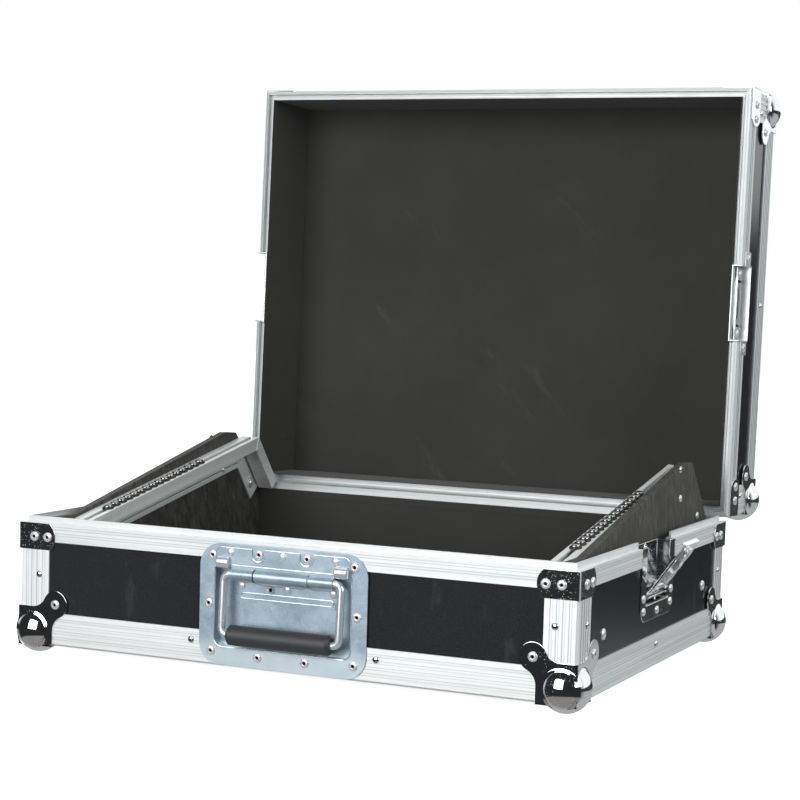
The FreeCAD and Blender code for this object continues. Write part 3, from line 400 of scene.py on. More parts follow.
board = makeBoard()
rubber = makePlain("gripRubber", (0.022, 0.0235, 0.025), (0.04, 0.042, 0.044), 0.0, 0.42, 900, 0.0001)
rivetSteel = makePlain("rivetSteel", (0.72, 0.74, 0.75), (0.88, 0.9, 0.91), 0.6, 0.2)
# pale steel: the bail's own finish, and a painted highlight where it lines the handle's and the brackets' edges
steelAndHighlight = makePlain("steelAndHighlight", (0.66, 0.71, 0.74), (0.84, 0.88, 0.9), 0.7, 0.16)
screwSteel = makePlain("screwSteel", (0.2, 0.2, 0.2), (0.45, 0.45, 0.44), 1.0, 0.16)
satin = makePlain("satinPlate", (0.7, 0.72, 0.73), (0.86, 0.88, 0.89), 0.65, 0.16, 300)
# painted shade: a near-black finish for the hollows of blind rivets, the screw recesses, the keeper's slot lines
# and the handle's gap and eyelet hole
recessShade = makePlain("paintedRecessShade", (0.004, 0.004, 0.004), (0.012, 0.012, 0.012), 0.0, 0.7, specular=0.05)
blackWasher = makePlain("blackWasher", (0.008, 0.008, 0.008), (0.02, 0.02, 0.02), 0.0, 0.35, 900, 0.0001)
print("finishes made")


def evenNormals(item):
    # wide flat faces shade flat, their soft edges take the change
    even = item.modifiers.new("evenNormals", "WEIGHTED_NORMAL")
    even.keep_sharp = True
    even.weight = 100


# CAD nodes that keep their shape, in metres and degrees
edgeLook = {"metal": 0.0004, "board": 0.0005, "weld": 0.00001, "flat": 1, "sharp": 35}


def dress(material, names, edge=None):
    for name in names.split():
        item = frame["nodes"][name]
        item.data.materials.clear()
        item.data.materials.append(material)
        if edge:
            weld = item.modifiers.new("weld", "WELD")
            weld.merge_threshold = edgeLook["weld"]
            flat = item.modifiers.new("flatFaces", "DECIMATE")
            flat.decimate_type = "DISSOLVE"
            flat.angle_limit = math.radians(edgeLook["flat"])
            bevel = item.modifiers.new("softEdge", "BEVEL")
            bevel.width = edgeLook[edge]
            bevel.segments = 2
            bevel.limit_method = "ANGLE"
            bevel.angle_limit = math.radians(edgeLook["sharp"])
            evenNormals(item)
            item.data.polygons.foreach_set("use_smooth", [True] * len(item.data.polygons))


dress(laminate, """base_floor_panel base_front_panel base_back_panel base_left_panel base_right_panel
    lid_top_panel lid_front_panel lid_back_panel lid_left_panel lid_right_panel""")
dress(alloyAcross, "base_front_edge base_back_edge")
dress(rimAcross, "base_front_rim base_back_rim")
dress(lidAcross, "lid_front_edge lid_back_edge lid_front_rim lid_back_rim")
dress(alloyAlong, "base_side_edges base_left_rim base_right_rim")
dress(alloyUp, "base_corner_posts")
dress(lidAlong, "lid_side_edges lid_left_rim lid_right_rim")
dress(lidUp, "lid_corner_posts")
dress(railAlloy, "left_rack_rail right_rack_rail")
dress(board, "left_rack_board right_rack_board", "board")
dress(chrome, "left_latch_dish right_latch_dish latch_pivot_pins left_latch_arm right_latch_arm", "metal")
dress(pittedChrome, "base_rim_brackets lid_rim_brackets", "metal")
dress(satin, "left_latch_keeper right_latch_keeper left_latch_wing right_latch_wing", "metal")
dress(zinc, "handle_tray handle_strap base_hinge_leaves lid_hinge_leaves hinge_pins", "metal")
dress(rubber, "handle_grip", "metal")
print("nodes dressed")


# new pieces, modelled in case millimetres
smoothAngle = 40


def finishPiece(name, mesh, matrix, body, slotName, *materials):
    bmesh.ops.transform(mesh, matrix=matrix, verts=mesh.verts)
    bmesh.ops.recalc_face_normals(mesh, faces=mesh.faces)
    data = bpy.data.meshes.new(name)
    for face in mesh.faces:
        face.smooth = True
    mesh.to_mesh(data)
    mesh.free()
    data.set_sharp_from_angle(angle=math.radians(smoothAngle))
    for material in materials:
        data.materials.append(material)
    item = bpy.data.objects.new(name, data)
    bpy.context.scene.collection.objects.link(item)
    evenNormals(item)
    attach(item, body)
    return item


def asData(mesh):
    data = bpy.data.meshes.new("template")
    mesh.to_mesh(data)
    mesh.free()
    return data


def lathe(profile, steps=20, shadeWithin=None):
    mesh = bmesh.new()
    verts = [mesh.verts.new((radius, 0, height)) for radius, height in profile]
    edges = [mesh.edges.new(pair) for pair in zip(verts, verts[1:])]
    bmesh.ops.spin(mesh, geom=verts + edges, cent=(0, 0, 0), axis=(0, 0, 1), angle=math.tau, steps=steps,
                   use_merge=True)
    bmesh.ops.remove_doubles(mesh, verts=mesh.verts, dist=0.001)
    bmesh.ops.recalc_face_normals(mesh, faces=mesh.faces)
    if shadeWithin:
        for face in mesh.faces:
            centre = face.calc_center_median()
            face.material_index = int(centre.xy.length < shadeWithin)
    return asData(mesh)


def spread(mesh, template, matrices):
    for matrix in matrices:
        start = len(mesh.verts)
        mesh.from_mesh(template)
        mesh.verts.ensure_lookup_table()
        bmesh.ops.transform(mesh, matrix=matrix, verts=mesh.verts[start:])


def facing(place, normal):
    turn = Vector((0, 0, 1)).rotation_difference(Vector(normal)).to_matrix().to_4x4()
    return Matrix.Translation(place) @ turn


# rivets: blind ones have a hollow middle painted with dark shade, solid ones a plain dome
rivetSizes = {"blind": 4.3, "solid": 3.7, "small": 3.2, "smallRise": 0.5, "large": 5.0}
# places on a side wall are out from it, back from the front or the middle, and up
rivetPlaces = {
    "reach": (15, 29), "lift": 1.15, "lobe": 38, "bracketLevel": 99, "lidBracketLevel": 21,
    "postAcross": 20, "postNear": 21, "postFar": 19, "base": (64.5, 20.5), "lid": (42, 18),
    "latchSides": ((-1.5, 67, 50.2), (-1.5, 357.4, 55.3)),
    "keeperEnds": ((1.15, -44, 20), (1.15, 44, 20)),
    "keeperBox": ((-6.2, -29.5, 20), (-6.2, 29.5, 20)),
    "dish": ((-0.35, -39, 54.5), (-0.35, 0, 51.5), (-0.35, 39, 54.5), (-0.35, -40, 66), (-0.35, 40, 66)),
    "tray": (-1.15, ((-68.5, 97.5), (68.5, 97.5), (-23.2, 100.7), (23.2, 100.7), (-71.7, 55), (71.7, 55),
                     (-69, 13), (69, 13), (-22.9, 10.8), (22.9, 10.8))),
    "strap": (-2.15, ((-50.6, 101.2), (0, 101.2), (50.6, 101.2))),
    "foot": (8.05, ((-44.3, 71.5), (0, 71.5), (44.3, 71.5))),
    "boardOuter": 16, "flangeInner": 25.3, "board": ((321.7, 141.3), (380, 119.7)), "flange": (329, 136),
    "boardTop": (318, 169), "railEnd": (387, 118),
}


def blindRivet(radius):
    shape = [(1, 0), (1, 0.08), (0.94, 0.2), (0.74, 0.31), (0.5, 0.34), (0.4, 0.31), (0.34, 0.1), (0, 0.04)]
    return lathe([(r * radius, h * radius) for r, h in shape], 20, 0.35 * radius)


def solidRivet(radius, rise=0.42):
    shape = [(1, 0), (0.97, 0.3), (0.84, 0.62), (0.6, 0.86), (0.3, 0.97), (0, 1)]
    return lathe([(r * radius, h * radius * rise) for r, h in shape], 20)


def mirrored(places):
    return places + [(Vector((-p.x, p.y, p.z)), Vector((-n.x, n.y, n.z))) for p, n in places]


def spots(pairs):
    return [(Vector(place), Vector(normal)) for place, normal in pairs]


lobeSpot, plateLift = rivetPlaces["lobe"], rivetPlaces["lift"]
frontWay, sideWay, backWay, downWay, upWay = (0, -1, 0), (1, 0, 0), (0, 1, 0), (0, 0, -1), (0, 0, 1)
inward = (-1, 0, 0)


def onSides(places, deep=0, low=0):
    return mirrored(spots([((halfWidth + out, deep + back, low + up), sideWay) for out, back, up in places]))


def onFront(face, places):
    return spots([((across, face, up), frontWay) for across, up in places])


def cornerSpots(level, flangeLevel, flangeWay, far):
    # rivets of the brackets and ball flanges at the right-hand corners
    right, back = halfWidth + plateLift, caseDepth + plateLift
    pairs = []
    for reach in rivetPlaces["reach"]:
        across = halfWidth - reach
        pairs += [((across, -plateLift, level), frontWay), ((right, reach, level), sideWay),
                  ((across, back, level), backWay), ((right, caseDepth - reach, level), sideWay)]
    across = halfWidth - lobeSpot
    for near in (lobeSpot, caseDepth - lobeSpot):
        pairs += [((right, near, flangeLevel), sideWay), ((across, near, far), flangeWay)]
    pairs += [((across, -plateLift, flangeLevel), frontWay), ((across, back, flangeLevel), backWay)]
    return mirrored(spots(pairs))


def edgeSpots(postLevel, edgeLevel):
    # small rivets along posts and edges
    third, across = halfWidth / 3, halfWidth - rivetPlaces["postAcross"]
    pairs = [
        ((across, 0, postLevel), frontWay), ((third, 0, edgeLevel), frontWay),
        ((across, caseDepth, postLevel), backWay), ((third, caseDepth, edgeLevel), backWay),
        ((halfWidth, rivetPlaces["postNear"], postLevel), sideWay),
        ((halfWidth, caseDepth - rivetPlaces["postFar"], postLevel), sideWay),
        ((halfWidth, caseMiddle, edgeLevel), sideWay),
    ]
    return mirrored(spots(pairs))


def placeRivets(name, groups, matrix, body):
    mesh = bmesh.new()
    for template, places in groups:
        spread(mesh, template, [facing(place, normal) for place, normal in places])
    return finishPiece(name, mesh, matrix, body, "chrome_fitting", rivetSteel, recessShade, chrome)


blind, small = blindRivet(rivetSizes["blind"]), solidRivet(rivetSizes["small"], rivetSizes["smallRise"])
for face in small.polygons:
    face.material_index = 2
solid, large = solidRivet(rivetSizes["solid"]), solidRivet(rivetSizes["large"])
lidPost, lidEdge = rivetPlaces["lid"]
placeRivets("baseRivets", [
    (blind, cornerSpots(rivetPlaces["bracketLevel"], lobeSpot, downWay, -plateLift)),
    (small, edgeSpots(*rivetPlaces["base"])),
    (large, onSides(rivetPlaces["latchSides"])),
], caseMatrix, "base")
placeRivets("lidRivets", [
    (blind, cornerSpots(lidLow + rivetPlaces["lidBracketLevel"], lidTop - lobeSpot, upWay, lidTop + plateLift)),
    (small, edgeSpots(lidLow + lidPost, lidTop - lidEdge)),
], lidMatrix, "lid")
placeRivets("keeperRivets", [
    (blind, onSides(rivetPlaces["keeperEnds"], caseMiddle, lidLow)),
    (solid, onSides(rivetPlaces["keeperBox"], caseMiddle, lidLow)),
], lidMatrix, "lid")
placeRivets("latchRivets", [(solid, onSides(rivetPlaces["dish"], caseMiddle))], caseMatrix, "base")
placeRivets("handleRivets", [(kind, onFront(*rivetPlaces[name])) for kind, name in
                             ((blind, "tray"), (solid, "strap"), (solid, "foot"))], caseMatrix, "base")
# board and rail fasteners: a washer under a dome, and small rivets
washered = lathe([(0, 0), (6.2, 0), (6.2, 0.7), (5.7, 1.0), (4.0, 1.0), (3.8, 2.0), (2.8, 2.9), (1.4, 3.2),
                  (0, 3.2)], 24)
boardOuter, flangeInner = halfWidth - rivetPlaces["boardOuter"], halfWidth - rivetPlaces["flangeInner"]
placeRivets("boardRivets", [
    (solid, mirrored(spots([((boardOuter, *place), sideWay) for place in rivetPlaces["board"]]
                           + [((flangeInner, *rivetPlaces["flange"]), inward)]))),
    (small, mirrored(spots([((boardOuter, *rivetPlaces["boardTop"]), sideWay)]))),
    (washered, mirrored(spots([((flangeInner, *rivetPlaces["railEnd"]), inward)]))),
], caseMatrix, "base")
print("rivets placed")


# ball corners: a ball without the eighth that the case fills, on three lobed flanges with a collar
cornerLook = {"ball": 21.5, "inset": 12.8, "thick": 1.2, "square": 35, "lobe": 38, "lobeRadius": 12.5,
              "hollow": 14, "edge": 0.45,
              "collar": ((-0.9, 1.2), (0.15, 0.75), (0.7, 0.3), (1.8, 0.02), (1.8, -0.5), (-0.9, -0.5),
                         (-0.9, 1.2))}


def arcPoints(centre, radius, start, end, steps):
    turns = [start + (end - start) * index / steps for index in range(steps + 1)]
    return [(centre[0] + radius * math.cos(turn), centre[1] + radius * math.sin(turn)) for turn in turns]


def flangeOutline(look):
    far = look["square"] + look["hollow"]
    reach = look["hollow"] + look["lobeRadius"]
    rise = far - look["lobe"]
    tilt = math.asin(rise / reach)
    hollow = (look["lobe"] - reach * math.cos(tilt), far)
    half = [(-look["thick"], look["square"])]
    half += arcPoints(hollow, look["hollow"], -math.pi / 2, -tilt, 6)
    half += arcPoints((look["lobe"], look["lobe"]), look["lobeRadius"], math.pi - tilt, math.pi / 4, 10)[1:]
    return [(-look["thick"], -look["thick"])] + half + [(b, a) for a, b in reversed(half[:-1])]


def plate(outline, thick, edge):
    mesh = bmesh.new()
    low = mesh.faces.new([mesh.verts.new((a, b, 0)) for a, b in outline])
    grown = bmesh.ops.extrude_face_region(mesh, geom=[low])
    high = [item for item in grown["geom"] if isinstance(item, bmesh.types.BMVert)]
    bmesh.ops.translate(mesh, verts=high, vec=(0, 0, thick))
    bmesh.ops.recalc_face_normals(mesh, faces=mesh.faces)
    rim = [item for item in mesh.edges if all(vert in high for vert in item.verts)]
    bmesh.ops.bevel(mesh, geom=rim, offset=edge, segments=2, profile=0.5, affect="EDGES", material=-1)
    return mesh


def cutAt(mesh, place, normal, clear=False):
    geometry = mesh.verts[:] + mesh.edges[:] + mesh.faces[:]
    bmesh.ops.bisect_plane(mesh, geom=geometry, plane_co=place, plane_no=normal, clear_inner=clear)


def cornerBall(look):
    mesh = bmesh.new()
    bmesh.ops.create_uvsphere(mesh, u_segments=48, v_segments=24, radius=look["ball"])
    bmesh.ops.translate(mesh, verts=mesh.verts, vec=[look["inset"]] * 3)
    for axis in ((1, 0, 0), (0, 1, 0), (0, 0, 1)):
        cutAt(mesh, (0, 0, 0), axis)
    inner = [face for face in mesh.faces if min(face.calc_center_median()) > 0]
    bmesh.ops.delete(mesh, geom=inner, context="FACES")
    middle = mesh.verts.new((0, 0, 0))
    for edge in [edge for edge in mesh.edges if edge.is_boundary]:
        mesh.faces.new((*edge.verts, middle))
    bmesh.ops.recalc_face_normals(mesh, faces=mesh.faces)
    return mesh


def cornerTemplate(look):
    ball = asData(cornerBall(look))
    flat = asData(plate(flangeOutline(look), look["thick"], look["edge"]))
    foot = math.sqrt(look["ball"] ** 2 - (look["inset"] + look["thick"]) ** 2)
    collar = lathe([(foot + out, look["thick"] + up) for out, up in look["collar"]], 56)
    trimmed = bmesh.new()
    trimmed.from_mesh(collar)
    bmesh.ops.translate(trimmed, verts=trimmed.verts, vec=(look["inset"], look["inset"], 0))
    for axis in ((1, 0, 0), (0, 1, 0)):
        cutAt(trimmed, Vector(axis) * -look["thick"], axis, True)
    collar = asData(trimmed)
    mesh = bmesh.new()
    spread(mesh, ball, [Matrix.Identity(4)])
    for matrix in (Matrix(((1, 0, 0), (0, 0, -1), (0, 1, 0))), Matrix(((0, 0, -1), (1, 0, 0), (0, 1, 0))),
                   Matrix(((1, 0, 0), (0, 1, 0), (0, 0, -1)))):
        spread(mesh, flat, [matrix.to_4x4()])
        spread(mesh, collar, [matrix.to_4x4()])
    return asData(mesh)


def placeCorners(name, level, upward, matrix, body, node):
    places = []
    for across in (-1, 1):
        for deep in (-1, 1):
            start = (-across * halfWidth, 0 if deep > 0 else caseDepth, level)
            places.append(Matrix.Translation(start) @ Matrix.Diagonal((across, deep, upward, 1)))
    mesh = bmesh.new()
    spread(mesh, cornerTemplate(cornerLook), places)
    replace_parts(finishPiece(name, mesh, matrix, body, "chrome_fitting", chrome), node)


placeCorners("baseBallCorners", 0, 1, caseMatrix, "base", "base_ball_corners")
placeCorners("lidBallCorners", lidTop, -1, lidMatrix, "lid", "lid_ball_corners")

# bail wire with true bends, leaning with the grip
bailLook = {"arm": 56.7, "high": 82, "low": 29, "bend": 6, "wire": 3.5, "lean": 3.2, "forward": -2}


def wireRing(mesh, path, radius, sides=20):
    rings = []
    for index, (a, b) in enumerate(path):
        before, after = Vector(path[index - 1]), Vector(path[(index + 1) % len(path)])
        way = (after - before).normalized()
        out = Vector((way.y, 0, -way.x))
        rings.append([mesh.verts.new(Vector((a, 0, b)) + radius * (
            out * math.cos(math.tau * k / sides) + Vector((0, 1, 0)) * math.sin(math.tau * k / sides)))
            for k in range(sides)])
    for ring, following in zip(rings, rings[1:] + rings[:1]):
        for k in range(sides):
            mesh.faces.new((ring[k], ring[(k + 1) % sides], following[(k + 1) % sides], following[k]))


def bailPath(look):
    path = []
    bend = look["bend"]
    for a, b, start in ((-1, 1, 90), (-1, -1, 180), (1, -1, 270), (1, 1, 0)):
        centre = (a * (look["arm"] - bend), (look["high"] - bend) if b > 0 else (look["low"] + bend))
        path += arcPoints(centre, bend, math.radians(start), math.radians(start + 90), 10)
    return path


mesh = bmesh.new()
wireRing(mesh, bailPath(bailLook), bailLook["wire"])
bailMatrix = (caseMatrix @ Matrix.Translation((0, bailLook["forward"], bailLook["high"]))
              @ Matrix.Rotation(math.radians(-bailLook["lean"]), 4, "X")
              @ Matrix.Translation((0, 0, -bailLook["high"])))
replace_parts(finishPiece("bailWire", mesh, bailMatrix, "bail", "chrome_fitting", steelAndHighlight), "handle_bail")

# painted highlight: bright rolled edges of the handle, pale steel tubes round the strap and round the tray's
# opening
rollLook = {"strapHalf": 65, "strapTop": 105, "strapLow": 90, "corner": 6, "notch": 6.5, "notchAt": 23.2,
            "notchUp": -4.3, "openHalf": 66.3, "openLow": 17.2, "openTop": 94.8, "openCorner": 8,
            "strapRoll": 0.5, "strapFace": -2.0, "openRoll": 0.65, "openFace": -1.1}


def strapPath(look):
    a, top, corner, notch = look["strapHalf"], look["strapTop"], look["corner"], look["notch"]
    path = [(-a, look["strapLow"])]
    path += arcPoints((corner - a, top - corner), corner, math.pi, math.pi / 2, 6)
    for at in (-look["notchAt"], look["notchAt"]):
        path += [(at - notch, top)] + arcPoints((at, top + look["notchUp"]), notch, math.pi, math.tau, 12)
        path += [(at + notch, top)]
    path += arcPoints((a - corner, top - corner), corner, math.pi / 2, 0, 6)
    return path + [(a, look["strapLow"])]


def openPath(look):
    path = []
    a, corner = look["openHalf"], look["openCorner"]
    for across, high, start in ((1, True, 0), (-1, True, 90), (-1, False, 180), (1, False, 270)):
        level = look["openTop"] - corner if high else look["openLow"] + corner
        path += arcPoints((across * (a - corner), level), corner, math.radians(start), math.radians(start + 90), 8)
    return path


# the strap's foot and its two ears, drawn with painted highlight, the loose eyelet, and painted shade in the gap
# beside the barrel and in the eyelet's hole
footLook = {
    "rib": (45, 60.3, 65.3), "ribDepth": 7.9, "roll": 0.42, "footDepth": 7.4,
    "wave": ((-46, 74), (-33, 74.8), (-26, 72.8), (-12, 72.6), (3, 73.2), (14, 73.2), (20, 74.6), (27, 73.2),
             (46, 74.2)),
    "ear": ((0, 0), (4.2, 0), (5.1, 0.5), (5.4, 1.6), (5.4, 10.4), (5.1, 11.5), (4.2, 12), (0, 12)),
    "earPlaces": ((-63, -2.4, 92), (51, -2.4, 92)),
    "eyelet": ((1.7, 0), (3.7, 0), (3.7, 0.9), (3.1, 1.6), (2.4, 1.6), (1.7, 0.6), (1.7, 0)),
    "eyeletHole": ((0, 0), (1.75, 0), (1.75, 0.2), (0, 0.2)), "eyeletPlace": (-15.8, 7.95, 69.6),
    "gap": ((4.4, 0), (5.75, 0), (5.75, 1.1), (4.4, 1.1), (4.4, 0)), "gapPlace": (-26.6, -2, 82),
}


def oblongPath(half, low, high):
    corner = (high - low) / 2
    level = (low + high) / 2
    return (arcPoints((half - corner, level), corner, math.pi / 2, -math.pi / 2, 8)
            + arcPoints((corner - half, level), corner, -math.pi / 2, -math.pi * 1.5, 8))


def addWire(mesh, path, radius, matrix, closed=True):
    # an open wire runs along its path and back just behind it
    wire = bmesh.new()
    back = [] if closed else [(a, b - 0.05) for a, b in reversed(path)]
    wireRing(wire, list(path) + back, radius, 8)
    spread(mesh, asData(wire), [matrix])


# painted highlight: the rolled edges, the rib and foot lines and the ears are pale steel on the zinc
rolls, roll = bmesh.new(), footLook["roll"]
for path, radius, face, closed in (
        (strapPath(rollLook), rollLook["strapRoll"], rollLook["strapFace"], True),
        (openPath(rollLook), rollLook["openRoll"], rollLook["openFace"], True),
        (oblongPath(*footLook["rib"]), roll, footLook["ribDepth"], True),
        (footLook["wave"], roll, footLook["footDepth"], False)):
    addWire(rolls, path, radius, Matrix.Translation((0, face, 0)), closed)
alongCase = Matrix.Rotation(math.pi / 2, 4, "Y")
ear = lathe(footLook["ear"], 32)
spread(rolls, ear, [Matrix.Translation(place) @ alongCase for place in footLook["earPlaces"]])
spread(rolls, lathe(footLook["eyelet"], 24), [facing(footLook["eyeletPlace"], frontWay)])
finishPiece("handleRollHighlights", rolls, caseMatrix, "base", "zinc_steel", steelAndHighlight)
# painted shade: a dark ring in the gap beside the barrel and a dark disc in the eyelet's hole
shades = bmesh.new()
spread(shades, lathe(footLook["gap"], 32), [Matrix.Translation(footLook["gapPlace"]) @ alongCase])
spread(shades, lathe(footLook["eyeletHole"]), [facing(footLook["eyeletPlace"], frontWay)])
finishPiece("handleShadows", shades, caseMatrix, "base", "zinc_steel", recessShade)

# painted highlight: rounded arris of each rim bracket, drawn as a pale steel tube
arrisLook = {"radius": 0.75, "out": 0.62, "base": (-24.1, -0.1), "lid": (6.2, 33.8)}
for name, matrix, body, level, ends in (("baseBracketArrisHighlights", caseMatrix, "base", rimTop, arrisLook["base"]),
                                        ("lidBracketArrisHighlights", lidMatrix, "lid", lidLow, arrisLook["lid"])):
    low, high = level + ends[0], level + ends[1]
    radius, out = arrisLook["radius"], arrisLook["out"]
    mesh = bmesh.new()
    arris = lathe([(0, low), (radius, low), (radius, high), (0, high)], 12)
    spread(mesh, arris, [Matrix.Translation((across * (halfWidth + out), deep, 0))
                         for across in (-1, 1) for deep in (-out, caseDepth + out)])
    finishPiece(name, mesh, matrix, body, "chrome_fitting", steelAndHighlight)

# keeper: raised end plates in the box, and dark lines flat on its floor as painted shade round the slot and beside
# the tabs
keeperLook = {"plateHalf": (23, 35.8), "low": 11, "high": 32, "rise": 2.2, "edge": 0.5, "floor": 8.35,
              "slot": (15, 13, 25), "line": 1.1, "lineRise": 0.1, "flat": 0.2,
              "lines": (((-22, 10.6), (-22, 31.2)), ((22, 10.6), (22, 31.2)), ((-36, 10), (-22, 10)),
                        ((22, 10), (36, 10)))}
keeperFloor = halfWidth - keeperLook["floor"]
plates, lines = bmesh.new(), bmesh.new()
for across in (-1, 1):
    for deep in (-1, 1):
        (near, far), low, high = keeperLook["plateHalf"], keeperLook["low"], keeperLook["high"]
        slab = plate([(near, low), (far, low), (far, high), (near, high)], keeperLook["rise"], keeperLook["edge"])
        turn = Matrix(((0, 0, across, across * keeperFloor), (deep, 0, 0, caseMiddle), (0, 1, 0, lidLow),
                       (0, 0, 0, 1)))
        spread(plates, asData(slab), [turn])
    turn = Matrix(((0, across * keeperLook["flat"], 0, across * (keeperFloor + keeperLook["lineRise"])),
                   (1, 0, 0, caseMiddle), (0, 0, 1, lidLow), (0, 0, 0, 1)))
    addWire(lines, oblongPath(*keeperLook["slot"]), keeperLook["line"], turn)
    for path in keeperLook["lines"]:
        addWire(lines, path, keeperLook["line"], turn, False)
finishPiece("keeperPlates", plates, lidMatrix, "lid", "chrome_fitting", satin)
finishPiece("keeperSlotShade", lines, lidMatrix, "lid", "chrome_fitting", recessShade)
print("corners, bail and rolls made")


# foam sheets, a little uneven; a lip laps over a rim, and a hole or pad is a half width and levels
foamLook = {"thick": 2.0, "edge": 0.5, "patch": 34, "unevenness": 0.25, "lipNear": 9.52, "lipThick": 0.48,
            "lipGap": 0.095, "rimGap": 1.2, "baseLow": 10.0, "lidLow": 15.5, "handleHole": (68.3, 15.2, 96.8),
            "latchHole": (34.8, 57.2), "keeperHole": (38.2, 34.6), "pad": (39, -0.05, 19.45)}


def foamSheet(mesh, width, height, matrix, hole=None, thick=foamLook["thick"]):
    sheet = bmesh.new()
    bmesh.ops.create_grid(sheet, x_segments=1, y_segments=1, size=0.5)
    bmesh.ops.transform(sheet, matrix=Matrix.Diagonal((width, height, 1, 1)), verts=sheet.verts)
    cuts = []
    for axis, size in ((0, width), (1, height)):
        count = max(2, round(size / foamLook["patch"]))
        cuts += [(axis, -size / 2 + size * i / count) for i in range(1, count)]
        if hole:
            cuts += [(axis, hole[axis][0]), (axis, hole[axis][1])]
    for axis, level in cuts:
        normal = Vector((1, 0, 0)) if axis == 0 else Vector((0, 1, 0))
        cutAt(sheet, normal * level, normal)
    if hole:
        inside = [face for face in sheet.faces
                  if hole[0][0] < face.calc_center_median().x < hole[0][1]
                  and hole[1][0] < face.calc_center_median().y < hole[1][1]]
        bmesh.ops.delete(sheet, geom=inside, context="FACES")
    sides = sheet.faces[:]
    grown = bmesh.ops.extrude_face_region(sheet, geom=sides)
    top = [item for item in grown["geom"] if isinstance(item, bmesh.types.BMVert)]
    bmesh.ops.translate(sheet, verts=top, vec=(0, 0, thick))
    bmesh.ops.recalc_face_normals(sheet, faces=sheet.faces)
    rims = [edge for edge in sheet.edges if len(edge.link_faces) == 2 and edge.calc_face_angle(0) > 1
            and all(vert.co.z > thick / 2 for vert in edge.verts)]
    for vert in sheet.verts:
        if vert.co.z > thick / 2:
            vert.co.z -= foamLook["unevenness"] * thick / 2 * (0.5 + 0.5 * noise.noise(vert.co * 0.02))
    bmesh.ops.bevel(sheet, geom=rims, offset=min(foamLook["edge"], thick / 2), segments=2, profile=0.5,
                    affect="EDGES", material=-1)
    bmesh.ops.transform(sheet, matrix=matrix, verts=sheet.verts)
    mesh.from_mesh(asData(sheet))


def wallMatrix(place, inward, along):
    inward, along = Vector(inward), Vector(along)
    across = inward.cross(along)
    return Matrix.Translation(place) @ Matrix((along, across, inward)).transposed().to_4x4()


panelInner = caseLook["panel"]
foamWide = 2 * (halfWidth - panelInner)
foamDeep = caseDepth - 2 * panelInner
foamSide = foamDeep / 2 - foamLook["thick"]
lipNear, lipThick = foamLook["lipNear"], foamLook["lipThick"]
lipDeep = caseDepth - 2 * lipNear


def sideSheet(mesh, near, low, high, across, start, end, hole, thick):
    # start and end are from the middle of the side wall
    place = (across * (halfWidth - near), caseMiddle + (start + end) / 2, (low + high) / 2)
    foamSheet(mesh, end - start, high - low, wallMatrix(place, (-across, 0, 0), (0, -across, 0)), hole, thick)


def foamWalls(mesh, near, low, high, sides, frontHole=None, sideHole=None, thick=foamLook["thick"]):
    wide, tall, level = 2 * (halfWidth - near), high - low, (low + high) / 2
    foamSheet(mesh, wide, tall, wallMatrix((0, near, level), (0, 1, 0), (-1, 0, 0)), frontHole, thick)
    foamSheet(mesh, wide, tall, wallMatrix((0, caseDepth - near, level), (0, -1, 0), (1, 0, 0)), None, thick)
    for across in (1, -1):
        for start, end in sides:
            sideSheet(mesh, near, low, high, across, start, end, sideHole, thick)


beyond, gap, rimGap = 200, foamLook["lipGap"] * lipDeep, foamLook["rimGap"]
baseLow, baseHigh = foamLook["baseLow"], (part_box("base_wall_lining")[1].z - frontLow.z) * 1000
baseLevel = (baseLow + baseHigh) / 2
handleHalf, handleLow, handleHigh = foamLook["handleHole"]
latchHalf, latchLow = foamLook["latchHole"]
mesh = bmesh.new()
foamWalls(mesh, panelInner, baseLow, baseHigh, [(-foamSide, foamSide)],
          ((-handleHalf, handleHalf), (handleLow - baseLevel, handleHigh - baseLevel)),
          ((-latchHalf, latchHalf), (latchLow - baseLevel, beyond)))
foamSheet(mesh, foamWide, foamDeep, wallMatrix((0, caseMiddle, panelInner), (0, 0, 1), (1, 0, 0)))
foamWalls(mesh, lipNear, baseHigh, rimTop - rimGap, [(-lipDeep / 2, -gap), (gap, lipDeep / 2)], thick=lipThick)
baseFoam = finishPiece("baseFoam", mesh, caseMatrix, "base", "foam_lining", foam)
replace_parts(baseFoam, "base_wall_lining", "base_floor_lining")
lidFoamLow, lidCeiling = lidLow + foamLook["lidLow"], lidTop - panelInner
lidFoamHigh = lidCeiling - foamLook["thick"]
lidLevel = (lidFoamLow + lidFoamHigh) / 2
keeperHalf, keeperTop = foamLook["keeperHole"]
mesh = bmesh.new()
foamWalls(mesh, panelInner, lidFoamLow, lidFoamHigh, [(-foamSide, foamSide)], None,
          ((-keeperHalf, keeperHalf), (-beyond, lidLow + keeperTop - lidLevel)))
foamSheet(mesh, foamWide, foamDeep, wallMatrix((0, caseMiddle, lidCeiling), (0, 0, -1), (1, 0, 0)))
foamWalls(mesh, lipNear, lidLow + rimGap, lidFoamLow, [(-lipDeep / 2, lipDeep / 2)], thick=lipThick)
padHalf, padLow, padHigh = foamLook["pad"]
for across in (-1, 1):
    sideSheet(mesh, lipNear, lidFoamLow + padLow, lidFoamLow + padHigh, across, -padHalf, padHalf, None, lipThick)
lidFoam = finishPiece("lidFoam", mesh, lidMatrix, "lid", "foam_lining", foam)
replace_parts(lidFoam, "lid_lining")
print("foam laid")


